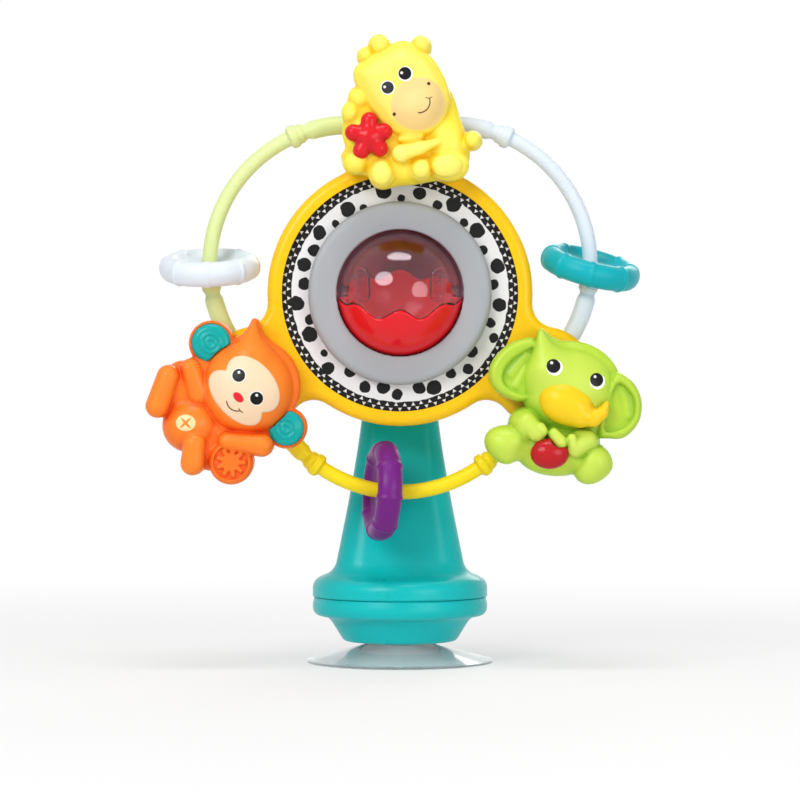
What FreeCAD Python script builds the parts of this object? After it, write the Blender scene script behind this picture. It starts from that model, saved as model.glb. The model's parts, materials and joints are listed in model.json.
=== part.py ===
import FreeCAD, Part
import math
import os
import re
import Sketcher

# Table-top ferris wheel toy: a wheel with three animals, three tube arcs with sliding rings and a
# spinning ball turns on a tower whose foot is held to the table by a suction cup.
# Frame: origin in the middle of the cup's contact rim on the table, +Z up, front towards -Y and
# +X to the viewer's right. The wheel's parts are drawn about the wheel's centre and then raised
# to the axle's height.

Vector = FreeCAD.Vector
Rotation = FreeCAD.Rotation
Placement = FreeCAD.Placement

doc = FreeCAD.newDocument("ferris_wheel_toy")

# Driving dimensions, millimetres and degrees. A depth or a plane is a distance in front of y = 0,
# the plane through the middle of the suction cup.
SIZES = {
    # stand
    "axle_height": 188,
    "shell_wall": 2.4,
    "cup_radius": 48,
    "cup_rim_width": 4,
    "cup_hollow_height": 8,
    "cup_edge_thickness": 1.2,
    "cup_centre_thickness": 3,
    "cup_stud_radius": 9,
    "cup_head_radius": 12,
    "cup_head_height": 3,
    "clamp_radius": 22,
    "clamp_thickness": 3.2,
    "bowl_foot_radius": 29,
    "bowl_top_radius": 37,
    "bowl_height": 12,
    "flange_radius": 45,
    "flange_half_height": 10,
    "flange_round": 5,
    "tower_foot_half_width": 34.2,
    "tower_mid_half_width": 27,
    "tower_waist_half_width": 20.4,
    "tower_top_half_width": 18.6,
    "tower_foot_front": 27,
    "tower_mid_front": 20,
    "tower_waist_front": 13,
    "tower_top_front": -3,
    "tower_head_front": 1,
    "tower_back": 24,
    "tower_foot_corner": 16,
    "tower_mid_corner": 12,
    "tower_waist_corner": 9,
    "tower_top_corner": 7,
    "tower_mid_height": 80,
    "tower_waist_height": 120,
    "tower_split": 8,
    "head_radius": 22,
    "head_round": 4,
    "bush_radius": 9,
    "bush_flange_radius": 12,
    "bush_flange_thickness": 1.6,
    "tower_screw_spread": 12,
    "tower_screw_low": 72,
    "tower_screw_high": 146,
    # screws
    "screw_radius": 1.5,
    "screw_head_radius": 2.8,
    "screw_head_height": 2,
    "screw_boss_radius": 4,
    "screw_well_depth": 6,
    # axle
    "axle_radius": 6,
    "lid_clearance": 0.3,
    "cap_thickness": 1.6,
    "axle_clearance": 0.08,
    "washer_radius": 8.5,
    "washer_thickness": 1.2,
    "running_gap": 0.5,
    # wheel housing
    "rim_radius": 66,
    "lobe_reach": 82.5,
    "lobe_radius": 25,
    "blend_radius": 12,
    "wheel_back_plane": 36,
    "wheel_split": 47,
    "wheel_front_plane": 58,
    "wheel_round": 4.5,
    "hub_radius": 14,
    "gusset_reach": 46,
    "gusset_back": 16,
    "tube_notch_clearance": 0.1,
    "bezel_screw_reach": 39.95,
    "disc_radius": 58.7,
    "disc_hole_radius": 44,
    "disc_depth": 54,
    "disc_thickness": 0.8,
    # bezel and ball
    "ball_radius": 32,
    "ball_wall": 2,
    "ball_depth": 51,
    "ball_tilt": 22,
    "cage_gap": 1.5,
    "cage_wall": 2.4,
    "bezel_radius": 45.5,
    "bezel_lip_radius": 30.8,
    "bezel_depth": 62,
    "bezel_shoulder": 1.6,
    "wave_length": 21,
    "wave_height": 2.5,
    "rib_place": 14,
    "rib_half_width": 8,
    "pin_radius": 2.5,
    "pin_clearance": 0.1,
    "pin_reach": 3.5,
    "bead_radius": 4.3,
    "bead_gap": 0.4,
    # tube arcs and rings
    "tube_arc_radius": 70,
    "tube_arc_offset": 29,
    "tube_radius": 3.75,
    "tube_half_angle": 70,
    "collar_radius": 5.75,
    "collar_length": 7,
    "collar_sink": 0.3,
    "collar_angle": 37.5,
    "ring_radius": 25,
    "ring_half_width": 6.25,
    "ring_rim_width": 9.5,
    "ring_web": 4.5,
    "ring_hole_radius": 5.3,
    "ring_round": 5.2,
    "ring_bevel": 2.4,
    "ring_rib_height": 0.7,
    "ring_rib_width": 1.6,
    "ring_stop_angle": 31,
    # animals
    "animal_back": 58,
    "animal_split": 64,
    "animal_base": 68,
    "animal_step": 0.8,
    "insert_seat": 70,
    "face_proud": 0.4,
    "ear_hollow_depth": 69.5,
    "ear_rim_width": 4,
    "ear_disc_radius": 9.3,
    "ear_disc_depth": 72.5,
    "flower_x": -15.6,
    "flower_z": 77,
    "flower_reach": 7.2,
    "flower_front": 77,
    "petal_radius": 4.1,
    "petal_bevel": 1.2,
    "bite_x": 5,
    "bite_z": 7.4,
    "bite_radius": 4,
}

# Reliefs of the animals and of the coloured pieces set into them. A round part has its place from
# the wheel's centre, its radius, the height of its upright side above the relief's base and the
# rise of its domed top above that side.
ROUNDS = {
    "giraffe": {
        "crown": (-4, 106, 15.4, 3, 8),
        "cheek": (2, 97.5, 15.5, 3, 10),
        "muzzle": (9, 90.7, 13.4, 4, 11.5),
        "ear_left": (-10.6, 122.3, 6.2, 1, 4),
        "ear_tuft": (-18.2, 115.9, 4.8, 1, 3),
        "ear_right": (9.2, 119.9, 6.4, 1, 4),
        "mane_top": (-18.5, 96.5, 6.5, 0, 4),
        "mane_low": (-20, 86, 8, 0, 4),
        "back": (17.5, 86, 12.7, 0, 5),
        "body": (-3.5, 71, 19, 1, 8),
        "haunch": (17, 68, 15.5, 1, 7.5),
        "side": (-19.5, 67, 10, 0, 5),
        "tail": (34.6, 74.1, 5.5, 0, 5),
        "thigh": (22.5, 61.5, 8.3, 5, 6),
        "foot": (10.5, 60.5, 5.4, 6, 4),
    },
    "monkey": {
        "head": (-74.7, -47.1, 24.3, 6, 9.5),
        "ear_left": (-92.5, -24, 11.2, 1.5, 1),
        "ear_right": (-56.5, -65.2, 10.6, 1.5, 1),
        "body": (-101, -67, 15.2, 1, 8),
        "hip": (-108.5, -56.5, 9, 0, 3),
        "slice": (-82.5, -83.4, 11, 1, 3.5),
    },
    "elephant": {
        "head": (85.2, -45.8, 23.4, 5, 10),
        "ear_left": (57, -37.2, 14.2, 3, 1.5),
        "ear_right": (104.2, -56.2, 14.4, 3, 1.5),
        "foot_left": (50, -75, 8.8, 2, 6.5),
        "foot_right": (94.8, -87.8, 8.7, 2, 6.5),
    },
    "trunk": {
        "root": (81, -54, 11.4, 8, 9),
    },
    "apple": {
        "flesh": (73, -79.5, 8.6, 8, 3.5),
    },
}
# a limb has both ends, its radius and the height of its crest above the relief's base
LIMBS = {
    "giraffe": {
        "leg": (-9.7, 64, -9.1, 56.4, 5.8, 11),
        "arm": (1.5, 67.4, 15, 73.5, 4.2, 11.5),
    },
    "monkey": {
        "tuft": (-72.6, -16.4, -73.5, -28, 3.2, 8),
        "arm_left": (-103, -38, -97.5, -56, 5.4, 9),
        "leg_left": (-114.2, -39.8, -119.6, -57.5, 5.8, 9.5),
        "leg_right": (-99.4, -73, -101.7, -86, 5.8, 12),
        "arm_right": (-87, -69.8, -68, -74.2, 5.6, 10),
    },
    "elephant": {
        "tuft": (70, -23.6, 74, -32, 3.6, 8),
        "body": (68, -75.5, 82, -76.5, 14.4, 11.5),
        "arm_left": (63.5, -64.5, 66.5, -72.5, 6, 12),
        "arm_right": (91, -69.5, 86.5, -77, 6, 12),
    },
    "trunk": {
        "bend": (86.3, -60, 94.6, -61.7, 4.6, 15),
        "tip": (95.8, -61.1, 101.1, -55.2, 2.6, 12),
    },
    "face": {
        "cheeks": (-87.8, -44, -72.8, -60.6, 6, 0),
        "brow": (-77.5, -39, -66.3, -51.5, 6.6, 0),
    },
}
ROUND_NAMES = ("x", "z", "radius", "side", "rise")
LIMB_NAMES = ("x_start", "z_start", "x_end", "z_end", "radius", "height")

for table, names in ((ROUNDS, ROUND_NAMES), (LIMBS, LIMB_NAMES)):
    for figure, parts in table.items():
        for part, values in parts.items():
            for name, value in zip(names, values):
                SIZES[f"{figure}_{part}_{name}"] = value

sheet = doc.addObject("Spreadsheet::Sheet", "Sizes")
for row, (alias, value) in enumerate(SIZES.items(), 1):
    sheet.set(f"A{row}", alias)
    sheet.set(f"B{row}", str(value))
    sheet.setAlias(f"B{row}", alias)


def full(expression):
    """Puts the sheet's name before every alias, which is any word with an underscore."""
    return re.sub(r"(?<![.\w])([a-z]+(?:_[a-z]+)+)\b", r"Sizes.\1", str(expression))


def size(expression):
    """The value of an expression of named sizes."""
    return float(sheet.evalExpression(full(expression)))


def bind(item, **properties):
    """Binds an object's sizes to expressions of named sizes."""
    for name, expression in properties.items():
        item.setExpression(name, full(expression))
    return item


def put(item, x=0, y=0, z=0):
    """Binds an object's place to expressions of named sizes."""
    for axis, expression in zip("xyz", (x, y, z)):
        item.setExpression(f"Placement.Base.{axis}", full(expression))
    return item


# Primitives, booleans and turned, padded and lofted bodies


def add(kind, name):
    return doc.addObject(kind, name)


def rod(name, radius, front, back, x=0, z=0):
    """A cylinder along Y from one depth to another; both depths are Y coordinates."""
    item = bind(add("Part::Cylinder", name), Radius=radius, Height=f"({back}) - ({front})")
    item.Placement.Rotation = Rotation(Vector(1, 0, 0), -90)
    return put(item, x, front, z)


def post(name, radius, bottom, top, x=0, y=0):
    """An upright cylinder."""
    item = bind(add("Part::Cylinder", name), Radius=radius, Height=f"({top}) - ({bottom})")
    return put(item, x, y, bottom)


def block(name, x, y, z):
    """A box between pairs of coordinates."""
    item = bind(
        add("Part::Box", name),
        Length=f"({x[1]}) - ({x[0]})",
        Width=f"({y[1]}) - ({y[0]})",
        Height=f"({z[1]}) - ({z[0]})",
    )
    return put(item, x[0], y[0], z[0])


def ball_at(name, radius, x=0, y=0, z=0):
    return put(bind(add("Part::Sphere", name), Radius=radius), x, y, z)


def fuse(name, *items):
    item = add("Part::MultiFuse", name)
    item.Shapes = list(items)
    return item


def cut(name, base, *tools):
    item = add("Part::Cut", name)
    item.Base = base
    item.Tool = tools[0] if len(tools) == 1 else fuse(f"{name}_tools", *tools)
    return item


def common(name, base, tool):
    item = add("Part::Common", name)
    item.Base = base
    item.Tool = tool
    return item


def group(name, *items):
    """Separate solids that share one node."""
    item = add("Part::Compound", name)
    item.Links = list(items)
    return item


def plane_of(body, role):
    return next(item for item in body.Origin.OriginFeatures if item.Role == role)


def sketch_in(body, role, offset=0):
    """A sketch on one of the body's own origin planes, moved along its normal."""
    sketch = body.newObject("Sketcher::SketchObject", f"{body.Name}_sketch")
    sketch.AttachmentSupport = [(plane_of(body, role), "")]
    sketch.MapMode = "FlatFace"
    sketch.setExpression("AttachmentOffset.Base.z", full(offset))
    return sketch


def dimension(sketch, kind, edge, point, expression):
    """A coordinate of a sketch point, bound to an expression of named sizes."""
    value = size(expression)
    if abs(value) < 1e-9:
        axis = -2 if kind == "DistanceX" else -1
        sketch.addConstraint(Sketcher.Constraint("PointOnObject", edge, point, axis))
        return
    index = sketch.addConstraint(Sketcher.Constraint(kind, -1, 1, edge, point, value))
    name = f"{kind}_{edge}_{point}"
    sketch.renameConstraint(index, name)
    sketch.setExpression(f"Constraints.{name}", full(expression))


def polygon(sketch, points):
    """A closed run of straight edges through points given as pairs of expressions."""
    places = [Vector(size(x), size(y), 0) for x, y in points]
    count = len(places)
    for index in range(count):
        sketch.addGeometry(Part.LineSegment(places[index], places[(index + 1) % count]))
    for index in range(count):
        sketch.addConstraint(Sketcher.Constraint("Coincident", index, 2, (index + 1) % count, 1))
    for index, (x, y) in enumerate(points):
        dimension(sketch, "DistanceX", index, 1, x)
        dimension(sketch, "DistanceY", index, 1, y)


def turned(name, axis, points):
    """A body turned about Z or Y from a profile of (radius, place along the axis) points."""
    body = add("PartDesign::Body", name)
    sketch = sketch_in(body, "XZ_Plane" if axis == "Z" else "XY_Plane")
    polygon(sketch, points)
    turn = body.newObject("PartDesign::Revolution", f"{name}_turn")
    turn.Profile = sketch
    turn.ReferenceAxis = (sketch, ["V_Axis"])
    turn.Angle = 360
    doc.recompute()
    return body


def round_edges(body, radius, chosen):
    """Rounds the edges that the test picks."""
    doc.recompute()
    base = body.Tip
    names = [f"Edge{number}" for number, edge in enumerate(base.Shape.Edges, 1) if chosen(edge)]
    fillet = body.newObject("PartDesign::Fillet", f"{body.Name}_round")
    fillet.Base = (base, names)
    bind(fillet, Radius=radius)
    body.Tip = fillet
    doc.recompute()
    return body


def circle_at(edge, radius, along, axis):
    """Whether an edge is a circle of this radius at this place along the axis."""
    if not isinstance(edge.Curve, Part.Circle):
        return False
    place = getattr(edge.Curve.Center, axis.lower())
    return abs(edge.Curve.Radius - size(radius)) < 0.01 and abs(place - size(along)) < 0.01


def label(item, name):
    item.Label = name
    NODES.append(item)
    return item


NODES = []


# Stand: suction cup, clamp, base bowl and the two tower shells

CUP_TOP = "cup_hollow_height + cup_centre_thickness"
CLAMP_BOTTOM = f"{CUP_TOP} + shell_wall"
CLAMP_TOP = f"{CLAMP_BOTTOM} + clamp_thickness"
BOWL_TOP = f"{CUP_TOP} + bowl_height"
SEAM = f"{BOWL_TOP} + flange_half_height + 1"
FLANGE_TOP = f"{SEAM} + flange_half_height"


def make_suction_cup():
    """A soft clear dish on a flat contact rim, with a stud and head that pull through the clamp."""
    cup = turned("suction_cup_body", "Z", [
        (0, "cup_hollow_height"),
        ("cup_stud_radius + 4", "cup_hollow_height - 1"),
        ("cup_radius - cup_rim_width", 0),
        ("cup_radius", 0),
        ("cup_radius", "cup_edge_thickness"),
        ("cup_stud_radius + 4", f"{CUP_TOP} - 0.4"),
        ("cup_stud_radius", CUP_TOP),
        ("cup_stud_radius", CLAMP_TOP),
        ("cup_head_radius", CLAMP_TOP),
        ("cup_head_radius", f"{CLAMP_TOP} + cup_head_height"),
        (0, f"{CLAMP_TOP} + cup_head_height"),
    ])
    label(cup, "suction_cup")


def make_cup_clamp():
    """A ring inside the bowl that traps the cup's stud."""
    outer = post("clamp_outer", "clamp_radius", CLAMP_BOTTOM, CLAMP_TOP)
    hole = post("clamp_hole", "cup_stud_radius", CLAMP_BOTTOM, CLAMP_TOP)
    label(cut("cup_clamp", outer, hole), "cup_clamp")


def make_base_bowl():
    """The lower half of the foot: a bowl that widens into the flange's under side."""
    wall = "shell_wall"
    bowl = turned("base_bowl_body", "Z", [
        ("cup_stud_radius", CUP_TOP),
        ("bowl_foot_radius", CUP_TOP),
        ("bowl_top_radius", BOWL_TOP),
        ("flange_radius - 2", f"{BOWL_TOP} + 1.5"),
        ("flange_radius", f"{SEAM} - 4"),
        ("flange_radius", SEAM),
        (f"flange_radius - {wall}", SEAM),
        (f"flange_radius - {wall}", f"{SEAM} - 3.4"),
        (f"flange_radius - {wall} - 1.5", f"{BOWL_TOP} + 1.4 + {wall}"),
        (f"bowl_top_radius - {wall} + 1", f"{BOWL_TOP} + {wall}"),
        (f"bowl_foot_radius - {wall} + 1", CLAMP_BOTTOM),
        ("cup_stud_radius", CLAMP_BOTTOM),
    ])
    round_edges(bowl, 1.8, lambda edge: circle_at(edge, "bowl_foot_radius", CUP_TOP, "Z"))
    label(bowl, "base_bowl")


def arc_outline(sketch, arcs):
    """A closed outline of arcs and lines that meet tangentially.

    Each arc is (centre, radius, start angle, end angle, centre expressions or None), where a None
    lets tangency place it.
    """
    for (x, y), radius, start, end, _ in arcs:
        circle = Part.Circle(Vector(x, y, 0), Vector(0, 0, 1), size(radius))
        sketch.addGeometry(Part.ArcOfCircle(circle, math.radians(start), math.radians(end)))
    for index, (_, radius, _, _, centre) in enumerate(arcs):
        row = sketch.addConstraint(Sketcher.Constraint("Radius", index, size(radius)))
        sketch.renameConstraint(row, f"radius_{index}")
        sketch.setExpression(f"Constraints.radius_{index}", full(radius))
        if centre:
            dimension(sketch, "DistanceX", index, 3, centre[0])
            dimension(sketch, "DistanceY", index, 3, centre[1])


def end_of(sketch, edge, point):
    return sketch.getPoint(edge, point)


def tower_section(name, height, half_width, front, corner, inset):
    """One rounded rectangle of the tower's loft, drawn in a level plane."""
    sketch = add("Sketcher::SketchObject", name)
    sketch.setExpression("Placement.Base.z", full(height))
    x = f"{half_width} - {corner}"
    high = f"tower_back - {corner}"
    low = f"{corner} - {front}"
    centres = [(x, high), (f"-({x})", high), (f"-({x})", low), (x, low)]
    arc_outline(sketch, [
        ((size(cx), size(cy)), f"{corner} - {inset}", 90 * index, 90 * index + 90, (cx, cy))
        for index, (cx, cy) in enumerate(centres)
    ])
    for index in range(4):
        following = (index + 1) % 4
        sketch.addGeometry(Part.LineSegment(end_of(sketch, index, 2), end_of(sketch, following, 1)))
        sketch.addConstraint(Sketcher.Constraint("Tangent", index, 2, 4 + index, 1))
        sketch.addConstraint(Sketcher.Constraint("Tangent", 4 + index, 2, following, 1))
    return sketch


def tower_loft(name, inset, foot):
    """The tower's tapering body, lofted through four rounded rectangles."""
    rows = {
        "foot": foot,
        "mid": "tower_mid_height",
        "waist": "tower_waist_height",
        "top": "axle_height",
    }
    loft = add("Part::Loft", name)
    loft.Sections = [
        tower_section(
            f"{name}_{row}",
            height,
            f"tower_{row}_half_width",
            f"tower_{row}_front",
            f"tower_{row}_corner",
            inset,
        )
        for row, height in rows.items()
    ]
    loft.Solid = True
    return loft


def tower_outside():
    """The tower with its head and the upper half of the flange, as one solid."""
    flange = turned("flange_body", "Z", [
        (0, SEAM),
        ("flange_radius", SEAM),
        ("flange_radius", FLANGE_TOP),
        ("tower_foot_half_width + 4", FLANGE_TOP),
        ("tower_foot_half_width - 2", f"{FLANGE_TOP} + 4"),
        (0, f"{FLANGE_TOP} + 4"),
    ])
    round_edges(flange, "flange_round",
                lambda edge: circle_at(edge, "flange_radius", FLANGE_TOP, "Z"))
    head = rod("head_outside", "head_radius", "-tower_head_front", "tower_back", z="axle_height")
    rounded = add("Part::Fillet", "head_rounded")
    rounded.Base = head
    doc.recompute()
    rims = [
        number
        for number, edge in enumerate(head.Shape.Edges, 1)
        if isinstance(edge.Curve, Part.Circle)
    ]
    rounded.Edges = [(number, size("head_round"), size("head_round")) for number in rims]
    return fuse("tower_solid", flange, tower_loft("tower_outer", 0, FLANGE_TOP), rounded)


def tower_inside():
    """The hollow that leaves one wall of plastic all round."""
    wall = "shell_wall"
    foot = post("tower_hollow_foot", f"flange_radius - {wall}", SEAM, f"{FLANGE_TOP} - {wall} - 1")
    head = rod(
        "tower_hollow_head",
        f"head_radius - {wall}",
        f"{wall} - tower_head_front",
        f"tower_back - {wall}",
        z="axle_height",
    )
    loft = tower_loft("tower_inner", wall, f"{FLANGE_TOP} - {wall} - 1")
    return fuse("tower_hollow", foot, loft, head)


TOWER_SCREWS = [(side, row) for row in ("low", "high") for side in (-1, 1)]
BUSH_BACK = "tower_split + 6"


def tower_posts(name, radius, front, back):
    """Something round at each of the tower's screws."""
    return [
        rod(
            f"{name}_{row}_{side + 1}",
            radius,
            front,
            back,
            f"{side} * tower_screw_spread",
            f"tower_screw_{row}",
        )
        for side, row in TOWER_SCREWS
    ]


def make_tower():
    """Front and back shells with screw bosses and a boss that carries the axle's bush."""
    outside = tower_outside()
    shell = cut("tower_shell", outside, tower_inside())
    far = "flange_radius * 2"
    high = "axle_height * 2"
    front_half = block("front_half", ("-" + far, far), ("-" + far, "tower_split"), (0, high))
    back_half = block("back_half", ("-" + far, far), ("tower_split", far), (0, high))
    boss = "bush_radius + shell_wall"
    front_bosses = fuse(
        "front_bosses",
        rod("front_bush_boss", boss, "-tower_head_front", "tower_split", z="axle_height"),
        *tower_posts("front_boss", "screw_boss_radius", "-tower_foot_front", "tower_split"),
    )
    back_bosses = fuse(
        "back_bosses",
        rod("back_bush_boss", boss, "tower_split", "tower_back", z="axle_height"),
        *tower_posts("back_boss", "screw_boss_radius + 1", "tower_split", "tower_back"),
    )
    bore = rod("bush_bore", "bush_radius", "-tower_head_front", BUSH_BACK, z="axle_height")
    well = rod("axle_well", "bush_radius + lid_clearance", BUSH_BACK, "tower_back", z="axle_height")
    seat = "tower_back - screw_well_depth"
    holes = tower_posts("tower_screw_hole", "screw_radius", "-screw_boss_radius", "tower_back")
    wells = tower_posts("tower_screw_well", "screw_head_radius + lid_clearance", seat, "tower_back")
    front_shell = common("front_shell", shell, front_half)
    back_shell = common("back_shell", shell, back_half)
    front = fuse("front_raw", front_shell, common("front_inside", outside, front_bosses))
    back = fuse("back_raw", back_shell, common("back_inside", outside, back_bosses))
    label(cut("tower_front", front, bore, *holes), "tower_front")
    label(cut("tower_back_shell", back, bore, well, *holes, *wells), "tower_back")
    heads = tower_posts("tower_screw_head", "screw_head_radius", seat, f"{seat} + screw_head_height")
    shanks = tower_posts("tower_screw_shank", "screw_radius", "-screw_boss_radius", seat)
    screws = [fuse(f"tower_screw_{number}", *pair) for number, pair in enumerate(zip(heads, shanks), 1)]
    label(group("tower_screws", *screws), "tower_screws")


# Axle: it is fixed in the wheel's hub and turns in the tower's bush

HUB_BACK = "tower_head_front + bush_flange_thickness + running_gap"
BOWL_OUTSIDE = "ball_radius + cage_gap + cage_wall"


def make_axle():
    sleeve = rod("bush_sleeve", "bush_radius", "-tower_head_front", BUSH_BACK)
    flange = rod(
        "bush_flange",
        "bush_flange_radius",
        "-tower_head_front - bush_flange_thickness",
        "-tower_head_front",
    )
    bore = rod("bush_inside", "axle_radius + axle_clearance", f"-({HUB_BACK})", BUSH_BACK)
    label(put(cut("axle_bush", fuse("bush_solid", sleeve, flange), bore), z="axle_height"), "axle_bush")

    front = f"{BOWL_OUTSIDE} - ball_depth + 1"
    back = f"{BUSH_BACK} + running_gap"
    shaft = rod("axle_shaft", "axle_radius", front, back)
    pilot = rod("axle_pilot", "screw_radius", f"{back} - 10", back)
    label(put(cut("axle", shaft, pilot), z="axle_height"), "axle")

    disc = rod("washer_disc", "washer_radius", back, f"{back} + washer_thickness")
    hole = rod("washer_hole", "screw_radius", back, f"{back} + washer_thickness")
    label(put(cut("axle_washer", disc, hole), z="axle_height"), "axle_washer")

    head_front = f"{back} + washer_thickness"
    head = rod("axle_screw_head", "screw_head_radius", head_front, f"{head_front} + screw_head_height")
    shank = rod("axle_screw_shank", "screw_radius", f"{back} - 10", head_front)
    label(put(fuse("axle_screw", head, shank), z="axle_height"), "axle_screw")

    inner = "tower_back - cap_thickness"
    deep = "tower_back - 2 * cap_thickness"
    lid = rod("cap_lid", "bush_radius + lid_clearance", inner, "tower_back")
    skirt = rod("cap_skirt", "bush_radius + lid_clearance", deep, inner)
    inside = rod("cap_inside", "bush_radius - cap_thickness", deep, inner)
    cap = fuse("axle_cap", lid, cut("cap_ring", skirt, inside))
    label(put(cap, z="axle_height"), "axle_cap")


# Wheel housing: two yellow shells with three lobes, clamped round the tube arcs

ARMS = (0, 120, 240)


def polar(radius, angle):
    return radius * math.cos(math.radians(angle)), radius * math.sin(math.radians(angle))


def bearing(start, end):
    return math.degrees(math.atan2(end[1] - start[1], end[0] - start[0]))


def wheel_outline(sketch, inset):
    """The rim, the three lobes and the hollows that blend them, moved inwards by the inset."""
    reach = size("lobe_reach")
    rim_to_blend = size("rim_radius + blend_radius")
    lobe_to_blend = size("lobe_radius + blend_radius")
    cosine = (rim_to_blend**2 + reach**2 - lobe_to_blend**2) / (2 * rim_to_blend * reach)
    swing = math.degrees(math.acos(cosine))
    arcs = []
    for arm in ARMS:
        out = 90 - arm
        lobe = polar(reach, out)
        blends = [polar(rim_to_blend, out + side * swing) for side in (-1, 1)]
        first, last = (bearing(lobe, blend) for blend in blends)
        place = (f"lobe_reach * sin({arm})", f"lobe_reach * cos({arm})")
        arcs.append((lobe, f"lobe_radius - ({inset})", first, first + (last - first) % 360, place))
        for blend in blends:
            to_rim = bearing(blend, (0, 0))
            sweep = (bearing(blend, lobe) - to_rim + 180) % 360 - 180
            low = min(to_rim, to_rim + sweep)
            arcs.append((blend, f"blend_radius + ({inset})", low, low + abs(sweep), None))
        arcs.append(((0, 0), f"rim_radius - ({inset})", out + swing, out + 120 - swing, (0, 0)))
    arc_outline(sketch, arcs)
    ends = [(edge, point, end_of(sketch, edge, point)) for edge in range(len(arcs)) for point in (1, 2)]
    while ends:
        edge, point, place = ends.pop()
        near = min(ends, key=lambda other: (other[2] - place).Length)
        ends.remove(near)
        sketch.addConstraint(Sketcher.Constraint("Tangent", edge, point, near[0], near[1]))


def tray(name, start, depth, open_back):
    """Half of the wheel's housing: the padded outline, rounded outside and hollowed from its open side."""
    body = add("PartDesign::Body", name)
    outline = sketch_in(body, "XZ_Plane", start)
    wheel_outline(outline, 0)
    pad = body.newObject("PartDesign::Pad", f"{name}_pad")
    pad.Profile = outline
    bind(pad, Length=depth)
    doc.recompute()
    closed = -size(f"{start} + {depth}") if open_back else -size(start)
    round_edges(body, "wheel_round", lambda edge: flat_at(edge, closed))
    hollow = sketch_in(body, "XZ_Plane", start if open_back else f"{start} + {depth}")
    wheel_outline(hollow, "shell_wall")
    pocket = body.newObject("PartDesign::Pocket", f"{name}_pocket")
    pocket.Profile = hollow
    pocket.Reversed = open_back
    bind(pocket, Length=f"{depth} - shell_wall")
    doc.recompute()
    return body


def flat_at(edge, y):
    box = edge.BoundBox
    return abs(box.YMin - y) < 0.01 and abs(box.YMax - y) < 0.01


def lobe_posts(name, radius, front, back):
    """Something round in the middle of each lobe."""
    return [
        rod(f"{name}_{arm}", radius, front, back, f"lobe_reach * sin({arm})", f"lobe_reach * cos({arm})")
        for arm in ARMS
    ]


def bezel_posts(name, radius, front, back):
    """Something round at each screw that holds the bezel, between the lobes."""
    return [
        rod(
            f"{name}_{arm}",
            radius,
            front,
            back,
            f"bezel_screw_reach * sin({arm} + 60)",
            f"bezel_screw_reach * cos({arm} + 60)",
        )
        for arm in ARMS
    ]


CAGE = "ball_radius + cage_gap"
DISC_FRONT = "disc_depth + disc_thickness"


def arc_frame(direction, angle):
    """Turns a drawing made in the level plane to face the viewer, its X axis at a clockwise angle from the top."""
    upright = Rotation(Vector(0, 0, 1), Vector(1, 0, 0), Vector(0, 1, 0), "ZXY")
    return Rotation(Vector(0, 1, 0), direction + angle) * upright


def tube_arc(name, direction, radius):
    """A bent tube about the arc's own centre, which lies off the wheel's centre."""
    arc = bind(
        add("Part::Torus", name),
        Radius1="tube_arc_radius",
        Radius2=radius,
        Angle3="2 * tube_half_angle",
    )
    arc.Placement.Rotation = arc_frame(direction, -size("tube_half_angle"))
    return put(arc, *arc_centre(direction))


def arc_centre(direction):
    return f"tube_arc_offset * sin({direction})", "-wheel_split", f"tube_arc_offset * cos({direction})"


def tube_notches(name):
    """Short straight bores where the tubes enter the sides of the lobes."""
    radius = size("tube_arc_radius")
    bores = []
    for arm in ARMS:
        middle = arc_place(arm, size("lobe_reach"))
        for turn in (-1, 1):
            direction = arm + 60 * turn
            centre = arc_place(direction, size("tube_arc_offset"))
            reach = middle - centre
            towards = math.degrees(math.atan2(reach.x, reach.z))
            inside = size("lobe_radius - shell_wall / 2")
            cosine = (radius**2 + reach.Length**2 - inside**2) / (2 * radius * reach.Length)
            angle = towards + turn * math.degrees(math.acos(cosine))
            bore = bind(add("Part::Cylinder", f"{name}_{arm}_{turn + 1}"),
                        Radius="tube_radius + tube_notch_clearance", Height="4 * shell_wall")
            heading = arc_heading(angle)
            place = centre + arc_place(angle, radius) - heading * size("2 * shell_wall")
            place.y = -size("wheel_split")
            bore.Placement = Placement(place, Rotation(Vector(0, 0, 1), heading))
            bores.append(bore)
    return bores


def pins(name, radius, inner, outer):
    """Round pins along X at both sides of the ball."""
    items = []
    for side in (-1, 1):
        pin = bind(add("Part::Cylinder", f"{name}_{side + 1}"), Radius=radius, Height=f"({outer}) - ({inner})")
        pin.Placement.Rotation = Rotation(Vector(0, 1, 0), 90 * side)
        items.append(put(pin, f"{side} * ({inner})", "-ball_depth"))
    return items


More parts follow.
